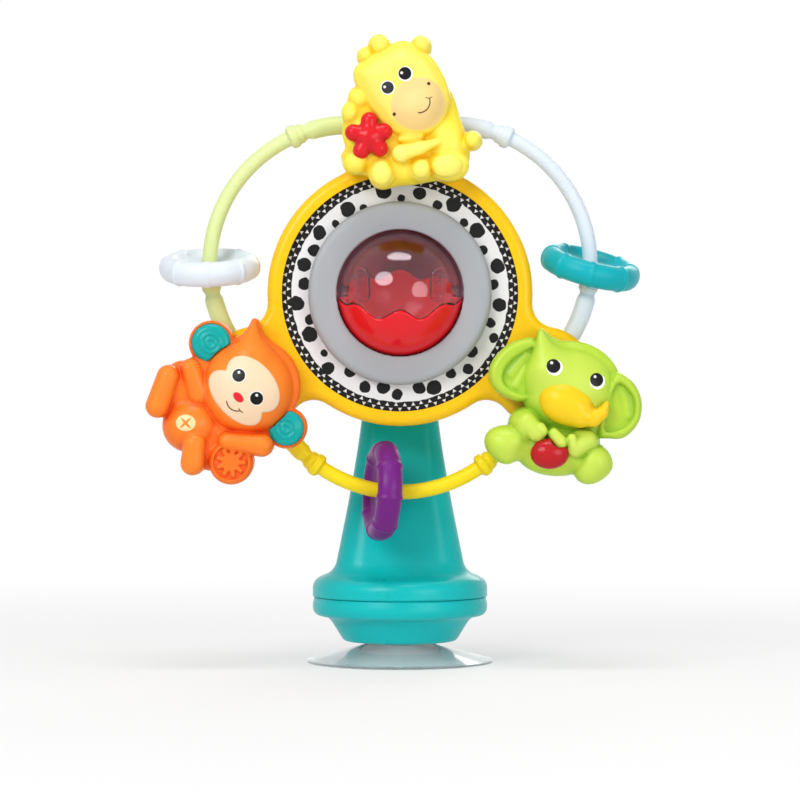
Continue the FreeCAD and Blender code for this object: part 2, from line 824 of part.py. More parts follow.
def make_wheel_back():
    """The rear tray with the bowl round the ball and the hub that holds the axle."""
    depth = "wheel_split - wheel_back_plane"
    body = tray("wheel_back_body", "wheel_back_plane", depth, False)
    bowl = bind(add("Part::Sphere", "bowl_outside"), Radius=BOWL_OUTSIDE)
    bowl.Angle1 = 0
    bowl.Placement.Rotation = Rotation(Vector(1, 0, 0), -90)
    put(bowl, 0, "-ball_depth", 0)
    hub_front = "-wheel_back_plane + 8"
    hub = rod("hub", "hub_radius", hub_front, f"-({HUB_BACK})")
    gussets = []
    for arm in ARMS:
        gusset = bind(
            add("Part::Wedge", f"gusset_{arm}"),
            Xmin="-shell_wall / 2",
            Xmax="shell_wall / 2",
            X2min="-shell_wall / 2",
            X2max="shell_wall / 2",
            Ymin="1 - wheel_back_plane",
            Ymax="-gusset_back",
            Zmin=0,
            Zmax="gusset_reach",
            Z2min=0,
            Z2max="hub_radius",
        )
        gusset.Placement.Rotation = Rotation(Vector(0, 1, 0), arm)
        gussets.append(gusset)
    bosses = lobe_posts("back_lobe_boss", "screw_boss_radius", "-wheel_split", "-wheel_back_plane")
    bosses += bezel_posts("back_bezel_boss", "screw_boss_radius", "-wheel_split", "-wheel_back_plane")
    solid = fuse("wheel_back_solid", body, bowl, hub, *gussets, *bosses)
    tools = [
        ball_at("bowl_inside", CAGE, 0, "-ball_depth", 0),
        rod("hub_bore", "axle_radius", f"{BOWL_OUTSIDE} - ball_depth + 1", 0),
        *pins("bowl_pin_notch", "pin_radius", "ball_radius", f"{BOWL_OUTSIDE} + pin_reach"),
        *tube_notches("back_notch"),
        *lobe_posts("back_lobe_hole", "screw_radius", "-wheel_split", "-wheel_back_plane"),
        *lobe_posts("back_lobe_well", "screw_head_radius", SCREW_SEAT, "-wheel_back_plane"),
        *bezel_posts("back_bezel_hole", "screw_radius", "-wheel_split", "-wheel_back_plane"),
        *bezel_posts("back_bezel_well", "screw_head_radius", SCREW_SEAT, "-wheel_back_plane"),
    ]
    label(put(cut("wheel_back_cut", solid, *tools), z="axle_height"), "wheel_back")


SCREW_SEAT = "-wheel_back_plane - screw_head_height"


def make_wheel_front():
    """The front tray with the rounded lip, the seat of the printed disc and the bosses under the animals."""
    depth = "wheel_front_plane - wheel_split"
    body = tray("wheel_front_body", "wheel_split", depth, True)
    seat = rod("disc_seat", "disc_radius + shell_wall", "-wheel_front_plane + 1", "-disc_depth + shell_wall")
    bosses = lobe_posts("front_lobe_boss", "screw_boss_radius", "-wheel_front_plane", "-wheel_split")
    solid = fuse("wheel_front_solid", body, seat, *bosses)
    tools = [
        rod("disc_recess", "disc_radius", "-wheel_front_plane", "-disc_depth"),
        rod("disc_seat_hole", "disc_hole_radius", "-wheel_front_plane", "-wheel_split"),
        *tube_notches("front_notch"),
        *lobe_posts("front_lobe_hole", "screw_radius", "-wheel_front_plane", "-wheel_split"),
    ]
    label(put(cut("wheel_front_cut", solid, *tools), z="axle_height"), "wheel_front")


def make_pattern_disc():
    disc = rod("disc_outside", "disc_radius", f"-({DISC_FRONT})", "-disc_depth")
    hole = rod("disc_inside", "disc_hole_radius", f"-({DISC_FRONT})", "-disc_depth")
    label(put(cut("pattern_disc", disc, hole), z="axle_height"), "pattern_disc")


def make_bezel():
    """The grey collar that keeps the ball in, with a skirt that meets the rear bowl at the pins."""
    wall = "cage_wall"
    ring = turned("bezel_body", "Y", [
        ("bezel_radius", f"-({DISC_FRONT})"),
        ("bezel_radius", "2.5 - bezel_depth"),
        ("bezel_radius - 3.5", "-bezel_depth - bezel_shoulder"),
        ("bezel_radius - 6", "-bezel_depth - bezel_shoulder"),
        ("bezel_lip_radius", "-bezel_depth"),
        ("bezel_lip_radius + 1", "1.4 - bezel_depth"),
        (CAGE, "5 - bezel_depth"),
        (CAGE, "-ball_depth"),
        (BOWL_OUTSIDE, "-ball_depth"),
        (BOWL_OUTSIDE, "4.5 - bezel_depth"),
        ("bezel_radius - 5", "1.8 - bezel_depth"),
        (f"bezel_radius - {wall}", "3.6 - bezel_depth"),
        (f"bezel_radius - {wall}", f"-({DISC_FRONT})"),
    ])
    round_edges(ring, 2.4, lambda edge: circle_at(edge, "bezel_radius", "2.5 - bezel_depth", "Y"))
    bosses = bezel_posts("bezel_boss", "screw_boss_radius", "3 - bezel_depth", "-wheel_split")
    solid = fuse("bezel_solid", ring, *bosses)
    tools = [
        *pins("bezel_pin_notch", "pin_radius", "ball_radius", f"{BOWL_OUTSIDE} + pin_reach"),
        *bezel_posts("bezel_hole", "screw_radius", "4 - bezel_depth", "-wheel_split"),
    ]
    label(put(cut("bezel_cut", solid, *tools), z="axle_height"), "ball_bezel")


def make_wheel_screws():
    """Three screws go through both shells into the animals and three hold the bezel."""
    rows = {
        "wheel": (lobe_posts, "-animal_split"),
        "bezel": (bezel_posts, "4 - bezel_depth"),
    }
    for use, (posts, tip) in rows.items():
        heads = posts(f"{use}_screw_head", "screw_head_radius", SCREW_SEAT, "-wheel_back_plane")
        shanks = posts(f"{use}_screw_shank", "screw_radius", tip, SCREW_SEAT)
        pairs = enumerate(zip(heads, shanks), 1)
        screws = [fuse(f"{use}_screw_{number}", *pair) for number, pair in pairs]
        label(put(group(f"{use}_screws", *screws), z="axle_height"), f"{use}_screws")


# Spinning ball: a clear shell over a red shell, parted along a wave, turning on two pins


def ball_part(item, name):
    """Tilts a piece of the ball about its pins and raises it to its place."""
    item.Placement.Rotation = Rotation(Vector(1, 0, 0), size("ball_tilt"))
    return label(put(item, 0, "-ball_depth", "axle_height"), name)


def wave_height(x):
    """The parting line: a cosine that ends level before it reaches the pins."""
    length = size("wave_length")
    if abs(x) >= 1.25 * length:
        return 0
    return size("wave_height") * math.cos(2 * math.pi * x / length)


def below_wave():
    """Everything under the ball's wavy parting surface."""
    reach = size("ball_radius + cage_gap")
    edge = 1.25 * size("wave_length")
    steps = 20
    places = [edge * (2 * step / steps - 1) for step in range(steps + 1)]
    curve = Part.BSplineCurve()
    curve.interpolate([Vector(x, -reach, wave_height(x)) for x in places])
    around = ((edge, 0), (reach, 0), (reach, -reach), (-reach, -reach), (-reach, 0), (-edge, 0))
    corners = [Vector(x, -reach, z) for x, z in around]
    sides = [Part.makeLine(start, end) for start, end in zip(corners, corners[1:])]
    outline = Part.Wire(Part.__sortEdges__([curve.toShape(), *sides]))
    item = add("Part::Feature", "below_wave")
    item.Shape = Part.Face(outline).extrude(Vector(0, 2 * reach, 0))
    return item


def make_ball():
    outside = ball_at("ball_outside", "ball_radius")
    inside = ball_at("ball_inside", "ball_radius - ball_wall")
    shell = cut("ball_shell", outside, inside)
    bosses = centred_pins("ball_boss", "2 * pin_radius", "ball_radius - 6", "ball_radius - ball_wall / 2")
    holes = centred_pins("ball_hole", "pin_radius + pin_clearance", "ball_radius - 7", "ball_radius + 1")
    body = cut("ball_body", fuse("ball_solid", shell, *bosses), *holes)
    ribs = []
    for side in (-1, 1):
        x = sorted((f"{side} * rib_place", f"{side} * (rib_place + 1.6)"), key=size)
        ribs.append(block(f"ball_rib_{side + 1}", x, ("-rib_half_width", "rib_half_width"),
                          ("wave_height + 0.6", "ball_radius")))
    wave = below_wave()
    upper = cut("ball_upper", body, wave)
    ribbed = fuse("ball_ribbed", upper, common("ball_rib_trim", inside, fuse("ball_ribs", *ribs)))
    ball_part(ribbed, "ball_clear_shell")
    ball_part(common("ball_lower", body, wave), "ball_red_shell")
    inner = f"{CAGE} - pin_reach - cage_gap"
    pair = pins("ball_pin", "pin_radius", inner, f"{BOWL_OUTSIDE} + pin_reach")
    label(put(group("ball_pins", *pair), z="axle_height"), "ball_pins")


def centred_pins(name, radius, inner, outer):
    """Round pieces along X at both sides of the ball, drawn about the ball's centre."""
    items = pins(name, radius, inner, outer)
    for item in items:
        item.setExpression("Placement.Base.y", "0")
    return items


# places of the beads in rows of touching beads, counted in bead spacings from the bottom of the ball
BEAD_PLACES = ((-1, -0.5), (0, -0.5), (1, -0.5), (-0.5, 0.5), (0.5, 0.5))


def make_beads():
    """Loose beads that lie on the bottom of the ball."""
    spacing = size("2 * bead_radius + bead_gap")
    sink = size("ball_radius - ball_wall - bead_radius - bead_gap")
    beads = []
    for number, (column, row) in enumerate(BEAD_PLACES, 1):
        x = column * spacing
        y = row * spacing * 0.9
        beads.append(ball_at(f"bead_{number}", "bead_radius", x, y, -math.sqrt(sink**2 - x**2 - y**2)))
    label(put(group("rattle_beads", *beads), 0, "-ball_depth", "axle_height"), "rattle_beads")


# Tube arcs with stop collars, and the rings that slide on them

TUBES = {"green": 300, "white": 60, "yellow": 180}
# ring: its tube, its place along the arc from the middle, and the leans that show in use about X, Y and Z
RINGS = {
    "white": ("green", -1, (13, 0, 0)),
    "teal": ("white", 1, (13, 13, 0)),
    "purple": ("yellow", 7.3 / 31, (0, -4, 11.5)),
}


def arc_place(angle, radius):
    return Vector(radius * math.sin(math.radians(angle)), 0, radius * math.cos(math.radians(angle)))


def arc_heading(angle):
    """The direction along an arc, clockwise as the viewer sees it."""
    return Vector(math.cos(math.radians(angle)), 0, -math.sin(math.radians(angle)))


def collar(name, direction, side):
    """A stop bulge on a tube: a short cylinder between two tapers."""
    angle = direction + side * size("collar_angle")
    heading = arc_heading(angle)
    centre = arc_place(direction, size("tube_arc_offset")) + arc_place(angle, size("tube_arc_radius"))
    centre.y = -size("wheel_split")
    half = size("collar_length") / 2
    flat = half * 0.4
    middle = bind(add("Part::Cylinder", f"{name}_middle"), Radius="collar_radius", Height="collar_length * 0.4")
    middle.Placement = Placement(centre - heading * flat, Rotation(Vector(0, 0, 1), heading))
    tapers = []
    for end in (-1, 1):
        taper = bind(add("Part::Cone", f"{name}_taper_{end + 1}"), Radius1="collar_radius",
                     Radius2="tube_radius - collar_sink", Height="collar_length * 0.3")
        taper.Placement = Placement(centre + heading * (end * flat), Rotation(Vector(0, 0, 1), heading * end))
        tapers.append(taper)
    return fuse(name, middle, *tapers)


def make_tubes():
    for colour, direction in TUBES.items():
        arc = tube_arc(f"tube_{colour}_arc", direction, "tube_radius")
        collars = [collar(f"tube_{colour}_collar_{side + 1}", direction, side) for side in (-1, 1)]
        label(put(fuse(f"tube_{colour}", arc, *collars), z="axle_height"), f"tube_{colour}")


def ring_body(name):
    """A fat rounded rim, a web dished from both sides and a hole for the tube."""
    inner = "ring_radius - ring_rim_width"
    half = "ring_half_width"
    bevel = "ring_bevel"
    body = turned(name, "Y", [
        ("ring_hole_radius", "-ring_web / 2"),
        (inner, "-ring_web / 2"),
        (inner, f"{bevel} - {half}"),
        (f"{inner} + {bevel}", f"-{half}"),
        ("ring_radius", f"-{half}"),
        ("ring_radius", half),
        (f"{inner} + {bevel}", half),
        (inner, f"{half} - {bevel}"),
        (inner, "ring_web / 2"),
        ("ring_hole_radius", "ring_web / 2"),
    ])
    return round_edges(body, "ring_round", lambda edge: any(
        circle_at(edge, "ring_radius", place, "Y") for place in (half, f"-{half}")))


def make_ring(colour):
    """A teething ring with eight low ribs over its rim."""
    name = f"ring_{colour}"
    ribs = []
    for eighth in range(8):
        angle = 45 * eighth
        out = arc_place(angle, 1)
        along = arc_heading(angle)
        rib = bind(
            add("Part::Cylinder", f"{name}_rib_{eighth}"),
            Radius="ring_half_width + ring_rib_height",
            Height="ring_rib_width",
        )
        rib.Angle = 180
        place = out * size("ring_radius - ring_half_width") - along * size("ring_rib_width / 2")
        rib.Placement = Placement(place, Rotation(Vector(0, 1, 0), out, along, "XYZ"))
        ribs.append(rib)
    ring = fuse(name, ring_body(f"{name}_body"), *ribs)
    tube, share, leans = RINGS[colour]
    direction = TUBES[tube]
    angle = direction + share * size("ring_stop_angle")
    centre = arc_place(direction, size("tube_arc_offset")) + arc_place(angle, size("tube_arc_radius"))
    centre += Vector(0, -size("wheel_split"), size("axle_height"))
    axes = (Vector(1, 0, 0), Vector(0, 1, 0), Vector(0, 0, 1))
    turn = Rotation(Vector(0, 1, 0), arc_heading(angle))
    for axis, lean in zip(axes, leans):
        turn = Rotation(axis, lean) * turn
    ring.Placement = Placement(centre, turn)
    label(ring, name)


# Animals: each is a back plate and a front relief of domes and limbs, with separate coloured inserts


def dome(name, key, extra=0):
    """A spherical cap that tops one round part's upright side."""
    r = f"{key}_radius"
    rise = f"{key}_rise"
    radius = f"(({r})^2 + {rise}^2) / (2 * {rise})"
    cap = bind(add("Part::Sphere", name), Radius=radius)
    bind(cap, Angle1=f"asin(({radius} - {rise}) / ({radius}))")
    cap.Placement.Rotation = Rotation(Vector(1, 0, 0), 90)
    return put(cap, f"{key}_x", f"{radius} - {rise} - (animal_base + {key}_side + {extra})", f"{key}_z")


def slot_block(name, key, inset, front, back):
    """The straight middle of a limb's outline."""
    x = size(f"{key}_x_end - {key}_x_start")
    z = size(f"{key}_z_end - {key}_z_start")
    radius = size(f"{key}_radius - {inset}")
    box = bind(
        add("Part::Box", name),
        Length=f"sqrt(({key}_x_end - {key}_x_start)^2 + ({key}_z_end - {key}_z_start)^2)",
        Width=f"({back}) - ({front})",
        Height=f"2 * ({key}_radius - {inset})",
    )
    turn = Rotation(Vector(0, 1, 0), -math.degrees(math.atan2(z, x)))
    corner = Vector(size(f"{key}_x_start"), size(front), size(f"{key}_z_start"))
    box.Placement = Placement(corner + turn.multVec(Vector(0, 0, -radius)), turn)
    return box


def limb_outline(name, key, inset, front, back):
    """A limb's outline as an upright slot between two depths."""
    box = slot_block(f"{name}_slot", key, inset, front, back)
    ends = [
        rod(f"{name}_{end}", f"{key}_radius - {inset}", front, back, f"{key}_x_{end}", f"{key}_z_{end}")
        for end in ("start", "end")
    ]
    return [box, *ends]


def limb_solid(key, back):
    """A limb with a round back: its outline, a lying cylinder and two round ends."""
    crest = f"({key}_radius - animal_base - {key}_height)"
    pieces = limb_outline(f"{key}_side", key, 0, crest, back)
    for end in ("start", "end"):
        half_ball = bind(add("Part::Sphere", f"{key}_round_{end}"), Radius=f"{key}_radius")
        half_ball.Angle1 = 0
        half_ball.Placement.Rotation = Rotation(Vector(1, 0, 0), 90)
        pieces.append(put(half_ball, f"{key}_x_{end}", crest, f"{key}_z_{end}"))
    x = size(f"{key}_x_end - {key}_x_start")
    z = size(f"{key}_z_end - {key}_z_start")
    lying = bind(
        add("Part::Cylinder", f"{key}_lying"),
        Radius=f"{key}_radius",
        Height=f"sqrt(({key}_x_end - {key}_x_start)^2 + ({key}_z_end - {key}_z_start)^2)",
    )
    lying.Angle = 180
    lying.Placement.Rotation = Rotation(Vector(-z, 0, x), Vector(0, -1, 0), Vector(x, 0, z), "ZYX")
    pieces.append(put(lying, f"{key}_x_start", crest, f"{key}_z_start"))
    return pieces


def relief(figure, back):
    """All domes and limbs of one figure, with sides that run back to a depth."""
    pieces = []
    for part in ROUNDS.get(figure, {}):
        key = f"{figure}_{part}"
        front = f"-animal_base - {key}_side"
        pieces.append(rod(f"{key}_side", f"{key}_radius", front, back, f"{key}_x", f"{key}_z"))
        pieces.append(dome(f"{key}_dome", key))
    for part in LIMBS.get(figure, {}):
        pieces += limb_solid(f"{figure}_{part}", back)
    return fuse(f"{figure}_relief", *pieces)


def make_flower():
    """Five petals round a domed middle, set into the giraffe's side."""
    petals = []
    for number in range(5):
        turn = 12 + 72 * number
        place = (f"flower_x + flower_reach * sin({turn})", f"flower_z + flower_reach * cos({turn})")
        petals.append(rod(f"petal_{number}", "petal_radius", "-flower_front", "-insert_seat", *place))
        bevel = bind(
            add("Part::Cone", f"petal_bevel_{number}"),
            Radius1="petal_radius",
            Radius2="petal_radius - petal_bevel",
            Height="petal_bevel",
        )
        bevel.Placement.Rotation = Rotation(Vector(1, 0, 0), 90)
        petals.append(put(bevel, place[0], "-flower_front", place[1]))
    front = "-flower_front - petal_bevel"
    middle = rod("flower_middle", "petal_radius + 1", front, "-insert_seat", "flower_x", "flower_z")
    return fuse("flower_solid", middle, *petals)


CLEAR_FRONT = "-animal_base * 2"


def head_rod(name, front, back):
    """Something round on the outline of the monkey's head."""
    return rod(name, "monkey_head_radius", front, back, "monkey_head_x", "monkey_head_z")


def make_face():
    """The monkey's face, a plug in the head's dome that stands a little proud of it."""
    outline = []
    for part in LIMBS["face"]:
        outline += limb_outline(f"face_{part}", f"face_{part}", 0, CLEAR_FRONT, "-insert_seat")
    side = head_rod("face_head_side", "-animal_base - monkey_head_side - face_proud", "-insert_seat")
    proud = fuse("face_proud_head", side, dome("face_head_dome", "monkey_head", "face_proud"))
    prism = fuse("face_outline", *outline)
    return common("face_plug", proud, prism), prism


def make_ears():
    """Two coloured discs set into the monkey's ears, behind the head."""
    discs = []
    seats = []
    for side in ("left", "right"):
        place = (f"monkey_ear_{side}_x", f"monkey_ear_{side}_z")
        disc = rod(f"ear_disc_{side}", "ear_disc_radius", "-ear_disc_depth", "-insert_seat", *place)
        head = head_rod(f"ear_cut_{side}", CLEAR_FRONT, "-insert_seat")
        discs.append(cut(f"ear_inlay_{side}", disc, head))
        seats.append(disc)
    return group("ear_discs", *discs), fuse("ear_seats", *seats)


def make_trunk():
    return relief("trunk", "-insert_seat")


def make_apple():
    """The apple in the elephant's arms, with a bite out of it."""
    place = ("apple_flesh_x + bite_x", "apple_flesh_z + bite_z")
    bite = rod("apple_bite", "bite_radius", CLEAR_FRONT, "-insert_seat", *place)
    return cut("apple_bitten", relief("apple", "-insert_seat"), bite)


def ear_hollows():
    """Shallow hollows in the elephant's ears that stop at its head and its feet."""
    hollows = []
    for side in ("left", "right"):
        ear = f"elephant_ear_{side}"
        hollow = rod(f"ear_hollow_{side}", f"{ear}_radius - ear_rim_width", CLEAR_FRONT,
                     "-ear_hollow_depth", f"{ear}_x", f"{ear}_z")
        head = rod(f"ear_head_{side}", "elephant_head_radius", CLEAR_FRONT, "-ear_hollow_depth",
                   "elephant_head_x", "elephant_head_z")
        hollows.append(cut(f"ear_hollow_{side}_open", hollow, head))
    return hollows


def make_animal(animal, inserts):
    """The two shells of one animal with its inserts, each a (node name, solid, pocket)."""
    back = []
    for part in ROUNDS[animal]:
        key = f"{animal}_{part}"
        back.append(rod(f"{key}_back", f"{key}_radius - animal_step", "-animal_split",
                        "-animal_back", f"{key}_x", f"{key}_z"))
    for part in LIMBS[animal]:
        key = f"{animal}_{part}"
        back += limb_outline(f"{key}_back", key, "animal_step", "-animal_split", "-animal_back")
    arm = {"giraffe": 0, "elephant": 120, "monkey": 240}[animal]
    front = relief(animal, "-animal_split")
    pockets = [pocket for _, _, pocket in inserts]
    if animal == "elephant":
        pockets += ear_hollows()
    label(put(cut(f"{animal}_pocketed", front, *pockets), z="axle_height"), f"{animal}_front")
    hole = rod(f"{animal}_screw_hole", "screw_radius", "-animal_split", "-animal_back",
               f"lobe_reach * sin({arm})", f"lobe_reach * cos({arm})")
    plate = cut(f"{animal}_plate", fuse(f"{animal}_plate_solid", *back), hole)
    label(put(plate, z="axle_height"), f"{animal}_back")
    for name, solid, _ in inserts:
        label(put(group(f"{name}_raised", solid), z="axle_height"), name)


def main():
    doc.recompute()
    make_suction_cup()
    make_cup_clamp()
    make_base_bowl()
    make_tower()
    make_axle()
    make_wheel_back()
    make_wheel_front()
    make_pattern_disc()
    make_bezel()
    make_wheel_screws()
    make_ball()
    make_beads()
    make_tubes()
    for colour in RINGS:
        make_ring(colour)
    flower = make_flower()
    make_animal("giraffe", [("giraffe_flower", flower, flower)])
    make_animal("monkey", [("monkey_face", *make_face()), ("monkey_ears", *make_ears())])
    trunk = make_trunk()
    apple = make_apple()
    make_animal("elephant", [("elephant_trunk", trunk, trunk), ("elephant_apple", apple, apple)])
    doc.recompute()
    check_and_write()


def check_and_write():
    """Stops at a failed object or shape, then writes one file per named piece."""
    failed = [item.Name for item in doc.Objects if {"Invalid", "Error"} & set(item.State)]
    if failed:
        raise RuntimeError(f"failed: {failed}")
    for item in NODES:
        if item.Shape.isNull() or not item.Shape.isValid() or not item.Shape.Solids:
            raise RuntimeError(f"{item.Label} has no valid solid")
    os.makedirs("parts", exist_ok=True)
    for item in NODES:
        item.Shape.exportStep(f"parts/{item.Label}.step")
        box = item.Shape.BoundBox
        extent = " x ".join(f"{length:.1f}" for length in (box.XLength, box.YLength, box.ZLength))
        print(f"{item.Label}: {len(item.Shape.Solids)} solid, {extent}")


main()
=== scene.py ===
import itertools
import json
import math

import bpy
import numpy as np
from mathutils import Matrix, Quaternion, Vector

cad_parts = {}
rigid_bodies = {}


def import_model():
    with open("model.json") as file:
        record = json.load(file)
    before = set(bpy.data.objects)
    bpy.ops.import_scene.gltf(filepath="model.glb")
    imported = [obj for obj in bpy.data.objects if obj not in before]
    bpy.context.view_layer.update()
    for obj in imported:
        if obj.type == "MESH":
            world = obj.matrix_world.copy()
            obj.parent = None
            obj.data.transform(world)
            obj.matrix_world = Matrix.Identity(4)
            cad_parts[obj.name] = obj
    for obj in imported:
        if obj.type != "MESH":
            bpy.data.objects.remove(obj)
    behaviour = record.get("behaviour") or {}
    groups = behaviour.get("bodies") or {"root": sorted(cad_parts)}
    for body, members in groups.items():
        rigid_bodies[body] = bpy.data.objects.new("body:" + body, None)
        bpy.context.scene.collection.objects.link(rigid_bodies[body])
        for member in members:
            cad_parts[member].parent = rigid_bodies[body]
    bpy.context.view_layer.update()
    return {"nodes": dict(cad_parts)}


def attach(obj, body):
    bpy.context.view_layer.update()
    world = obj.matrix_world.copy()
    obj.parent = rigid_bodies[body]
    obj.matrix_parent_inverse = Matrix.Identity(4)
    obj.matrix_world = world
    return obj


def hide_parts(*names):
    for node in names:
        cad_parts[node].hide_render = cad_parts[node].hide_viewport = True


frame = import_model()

# Ferris wheel toy: the animals, the tubes and their rings, the collar, the ball, the front of the
# tower and the foot's bowl are modelled here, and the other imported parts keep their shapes. Sizes
# are in millimetres. Points are (x, z, depth): x and z from the wheel's centre and the depth
# towards the viewer, and they are turned into the frame's metres when a mesh is made.

MM = 0.001
# The axle's height above the floor.
AXLE = 188.0
# The depth where the animals' two shells meet, and where their domes start to round off.
SPLIT = 64.0
BASE = 66.0


def rgb(red, green, blue):
    """A colour as it shows, 0 to 255, in the linear values that shaders take."""
    values = []
    for channel in (red, green, blue):
        part = channel / 255
        values.append(part / 12.92 if part <= 0.04045 else ((part + 0.055) / 1.055) ** 2.4)
    return (*values, 1)


# Shader trees


class Tree:
    """A new material or world and short calls that add nodes to it. A value is a number, a colour
    or a socket."""

    def __init__(self, name, kind=bpy.data.materials, shader="Principled BSDF"):
        self.owner = kind.new(name)
        self.owner.use_nodes = True
        self.nodes = self.owner.node_tree.nodes
        self.links = self.owner.node_tree.links
        self.shader = self.nodes[shader]
        self.objects = None

    def give(self, socket, value):
        """Links a socket to an input, or writes a constant into it."""
        if isinstance(value, bpy.types.NodeSocket):
            self.links.new(value, socket)
        else:
            socket.default_value = value

    def node(self, kind, inputs=(), **settings):
        item = self.nodes.new(kind)
        for name, value in settings.items():
            setattr(item, name, value)
        for key, value in dict(inputs).items():
            self.give(item.inputs[key], value)
        return item

    def set(self, name, value):
        """Gives the shader one of its settings, a value or a socket."""
        self.give(self.shader.inputs[name], value)

    def math(self, operation, *values, clamp=False):
        inputs = dict(enumerate(values))
        return self.node("ShaderNodeMath", inputs, operation=operation, use_clamp=clamp).outputs[0]

    def plus(self, first, second):
        """The sum of two values. Less gives their difference and times their product."""
        return self.math("ADD", first, second)

    def less(self, first, second, clamp=False):
        return self.math("SUBTRACT", first, second, clamp=clamp)

    def times(self, first, second):
        return self.math("MULTIPLY", first, second)

    def length(self, *parts):
        """The square root of the sum of the parts' squares."""
        total = 0.0
        for part in parts:
            total = self.plus(total, self.times(part, part))
        return self.math("SQRT", total)

    def mix(self, factor, first, second):
        """The first colour where the factor is 0 and the second where it is 1."""
        inputs = {0: factor, 6: first, 7: second}
        return self.node("ShaderNodeMix", inputs, data_type="RGBA").outputs[2]

    def position(self):
        """Object coordinates, which are the frame's metres."""
        if self.objects is None:
            self.objects = self.node("ShaderNodeTexCoord").outputs["Object"]
        return self.objects

    def noise(self, scale, detail=2):
        inputs = {"Vector": self.position(), "Scale": scale, "Detail": detail}
        return self.node("ShaderNodeTexNoise", inputs).outputs[0]

    def ramp(self, value, low, high, to_low=0.0, to_high=1.0):
        """A value's straight way from one range to another, held at both ends."""
        inputs = {0: value, 1: low, 2: high, 3: to_low, 4: to_high}
        return self.node("ShaderNodeMapRange", inputs).outputs[0]

    def depth(self):
        """Millimetres towards the viewer from the frame's XZ plane."""
        parts = self.node("ShaderNodeSeparateXYZ", {0: self.position()}).outputs
        return self.times(parts[1], -1000)

    def plane(self):
        """Millimetres across and up from the wheel's centre."""
        parts = self.node("ShaderNodeSeparateXYZ", {0: self.position()}).outputs
        across = self.times(parts[0], 1000)
        up = self.less(self.times(parts[2], 1000), AXLE)
        return across, up

    def disc(self, place, x, z, radius, stretch=1.0, turn=0.0, soft=0.12):
        """1 inside a round or oval patch and 0 outside; its long side is the radius times the stretch."""
        across = self.less(place[0], x)
        up = self.less(place[1], z)
        if stretch != 1.0:
            c, s = math.cos(math.radians(turn)), math.sin(math.radians(turn))
            along = self.plus(self.times(across, c), self.times(up, s))
            side = self.less(self.times(up, c), self.times(across, s))
            across, up = self.math("DIVIDE", along, stretch), side
        return self.ramp(self.length(across, up), radius + soft, radius - soft)

    def stroke(self, place, x, z, radius, start, end, width):
        """A thin printed arc, from one angle to another in degrees, anticlockwise."""
        outer = self.disc(place, x, z, radius + width / 2, soft=0.06)
        inner = self.disc(place, x, z, radius - width / 2, soft=0.06)
        line = self.less(outer, inner, clamp=True)
        across = self.less(place[0], x)
        up = self.less(place[1], z)
        middle = math.radians((start + end) / 2)
        facing = self.plus(self.times(across, math.cos(middle)), self.times(up, math.sin(middle)))
        edge = radius * math.cos(math.radians((end - start) / 2))
        return self.times(line, self.ramp(facing, edge - 0.08, edge + 0.08))


def moulded(name, colour, crease_shade=None, pale=None, rough=0.3, grain=0.02, soft=0.0, coat=0.0, paint=None):
    """Moulded plastic: faint colour and gloss variation, a fine skin and optional prints. The crease shade
    colour is painted shade: it darkens the creases of the pieces that carry a crease attribute. The pale one
    is a painted highlight on the crests of the animals, whose prints stop at the plane between their shells."""
    tree = Tree(name)
    shade = tree.noise(14, 3)
    base = tree.mix(tree.ramp(shade, 0.3, 0.7), colour, tuple(0.94 * c for c in colour[:3]) + (1,))
    depth = tree.depth()
    # Painted highlight: a paler colour on the crests, which stand out towards the viewer.
    if pale:
        base = tree.mix(tree.ramp(depth, 73, 84), base, pale)
    # Painted shade: the crease shade colour darkens the folds, as much as they are shut in.
    if crease_shade:
        crease = tree.node("ShaderNodeAttribute", attribute_name="crease").outputs["Fac"]
        base = tree.mix(crease, base, crease_shade)
    if paint:
        printed = paint(tree, tree.plane(), base)
        base = tree.mix(tree.ramp(depth, SPLIT, SPLIT + 1), base, printed) if pale else printed
    tree.set("Base Color", base)
    gloss = tree.noise(60, 4)
    tree.set("Roughness", tree.ramp(gloss, 0.3, 0.7, rough - 0.04, rough + 0.06))
    skin = tree.noise(900, 2)
    bump = tree.node("ShaderNodeBump", {"Height": skin, "Strength": grain, "Distance": 0.001})
    tree.set("Normal", bump.outputs[0])
    tree.set("Specular IOR Level", 0.22)
    if coat:
        tree.set("Coat Weight", coat)
        tree.set("Coat Roughness", 0.12)
    if soft:
        tree.set("Subsurface Weight", soft)
        tree.set("Subsurface Radius", (1.0, 0.7, 0.4))
        tree.set("Subsurface Scale", 0.004)
    return tree.owner


def clear(name, colour, rough=0.03, ior=1.45, haze=0.0):
    """Clear plastic with faint waves in its surface and a light shadow."""
    tree = Tree(name)
    waves = tree.noise(40, 1)
    bump = tree.node("ShaderNodeBump", {"Height": waves, "Strength": 0.05, "Distance": 0.001})
    tree.set("Normal", bump.outputs[0])
    tint = tree.mix(tree.ramp(tree.noise(25, 2), 0.35, 0.65), colour,
                    tuple(0.96 * c for c in colour[:3]) + (1,))
    tree.set("Base Color", tint)
    scuffs = tree.noise(300, 5)
    tree.set("Roughness", tree.ramp(scuffs, 0.5, 0.8, rough, rough + 0.05))
    tree.set("Transmission Weight", 1.0 - haze)
    shadow = tree.node("ShaderNodeLightPath").outputs["Is Shadow Ray"]
    tree.set("Alpha", tree.ramp(shadow, 0, 1, 1.0, 0.15))
    tree.set("IOR", ior)
    return tree.owner


def steel(name):
    """Bare steel with an uneven gloss."""
    tree = Tree(name)
    shade = tree.ramp(tree.noise(500, 4), 0.3, 0.7)
    tree.set("Base Color", tree.mix(shade, rgb(190, 192, 195), rgb(150, 152, 156)))
    tree.set("Roughness", tree.ramp(shade, 0, 1, 0.22, 0.38))
    tree.set("Metallic", 1.0)
    return tree.owner


# Solid forms as distance fields. A field takes (x, z, depth) arrays and is negative inside.


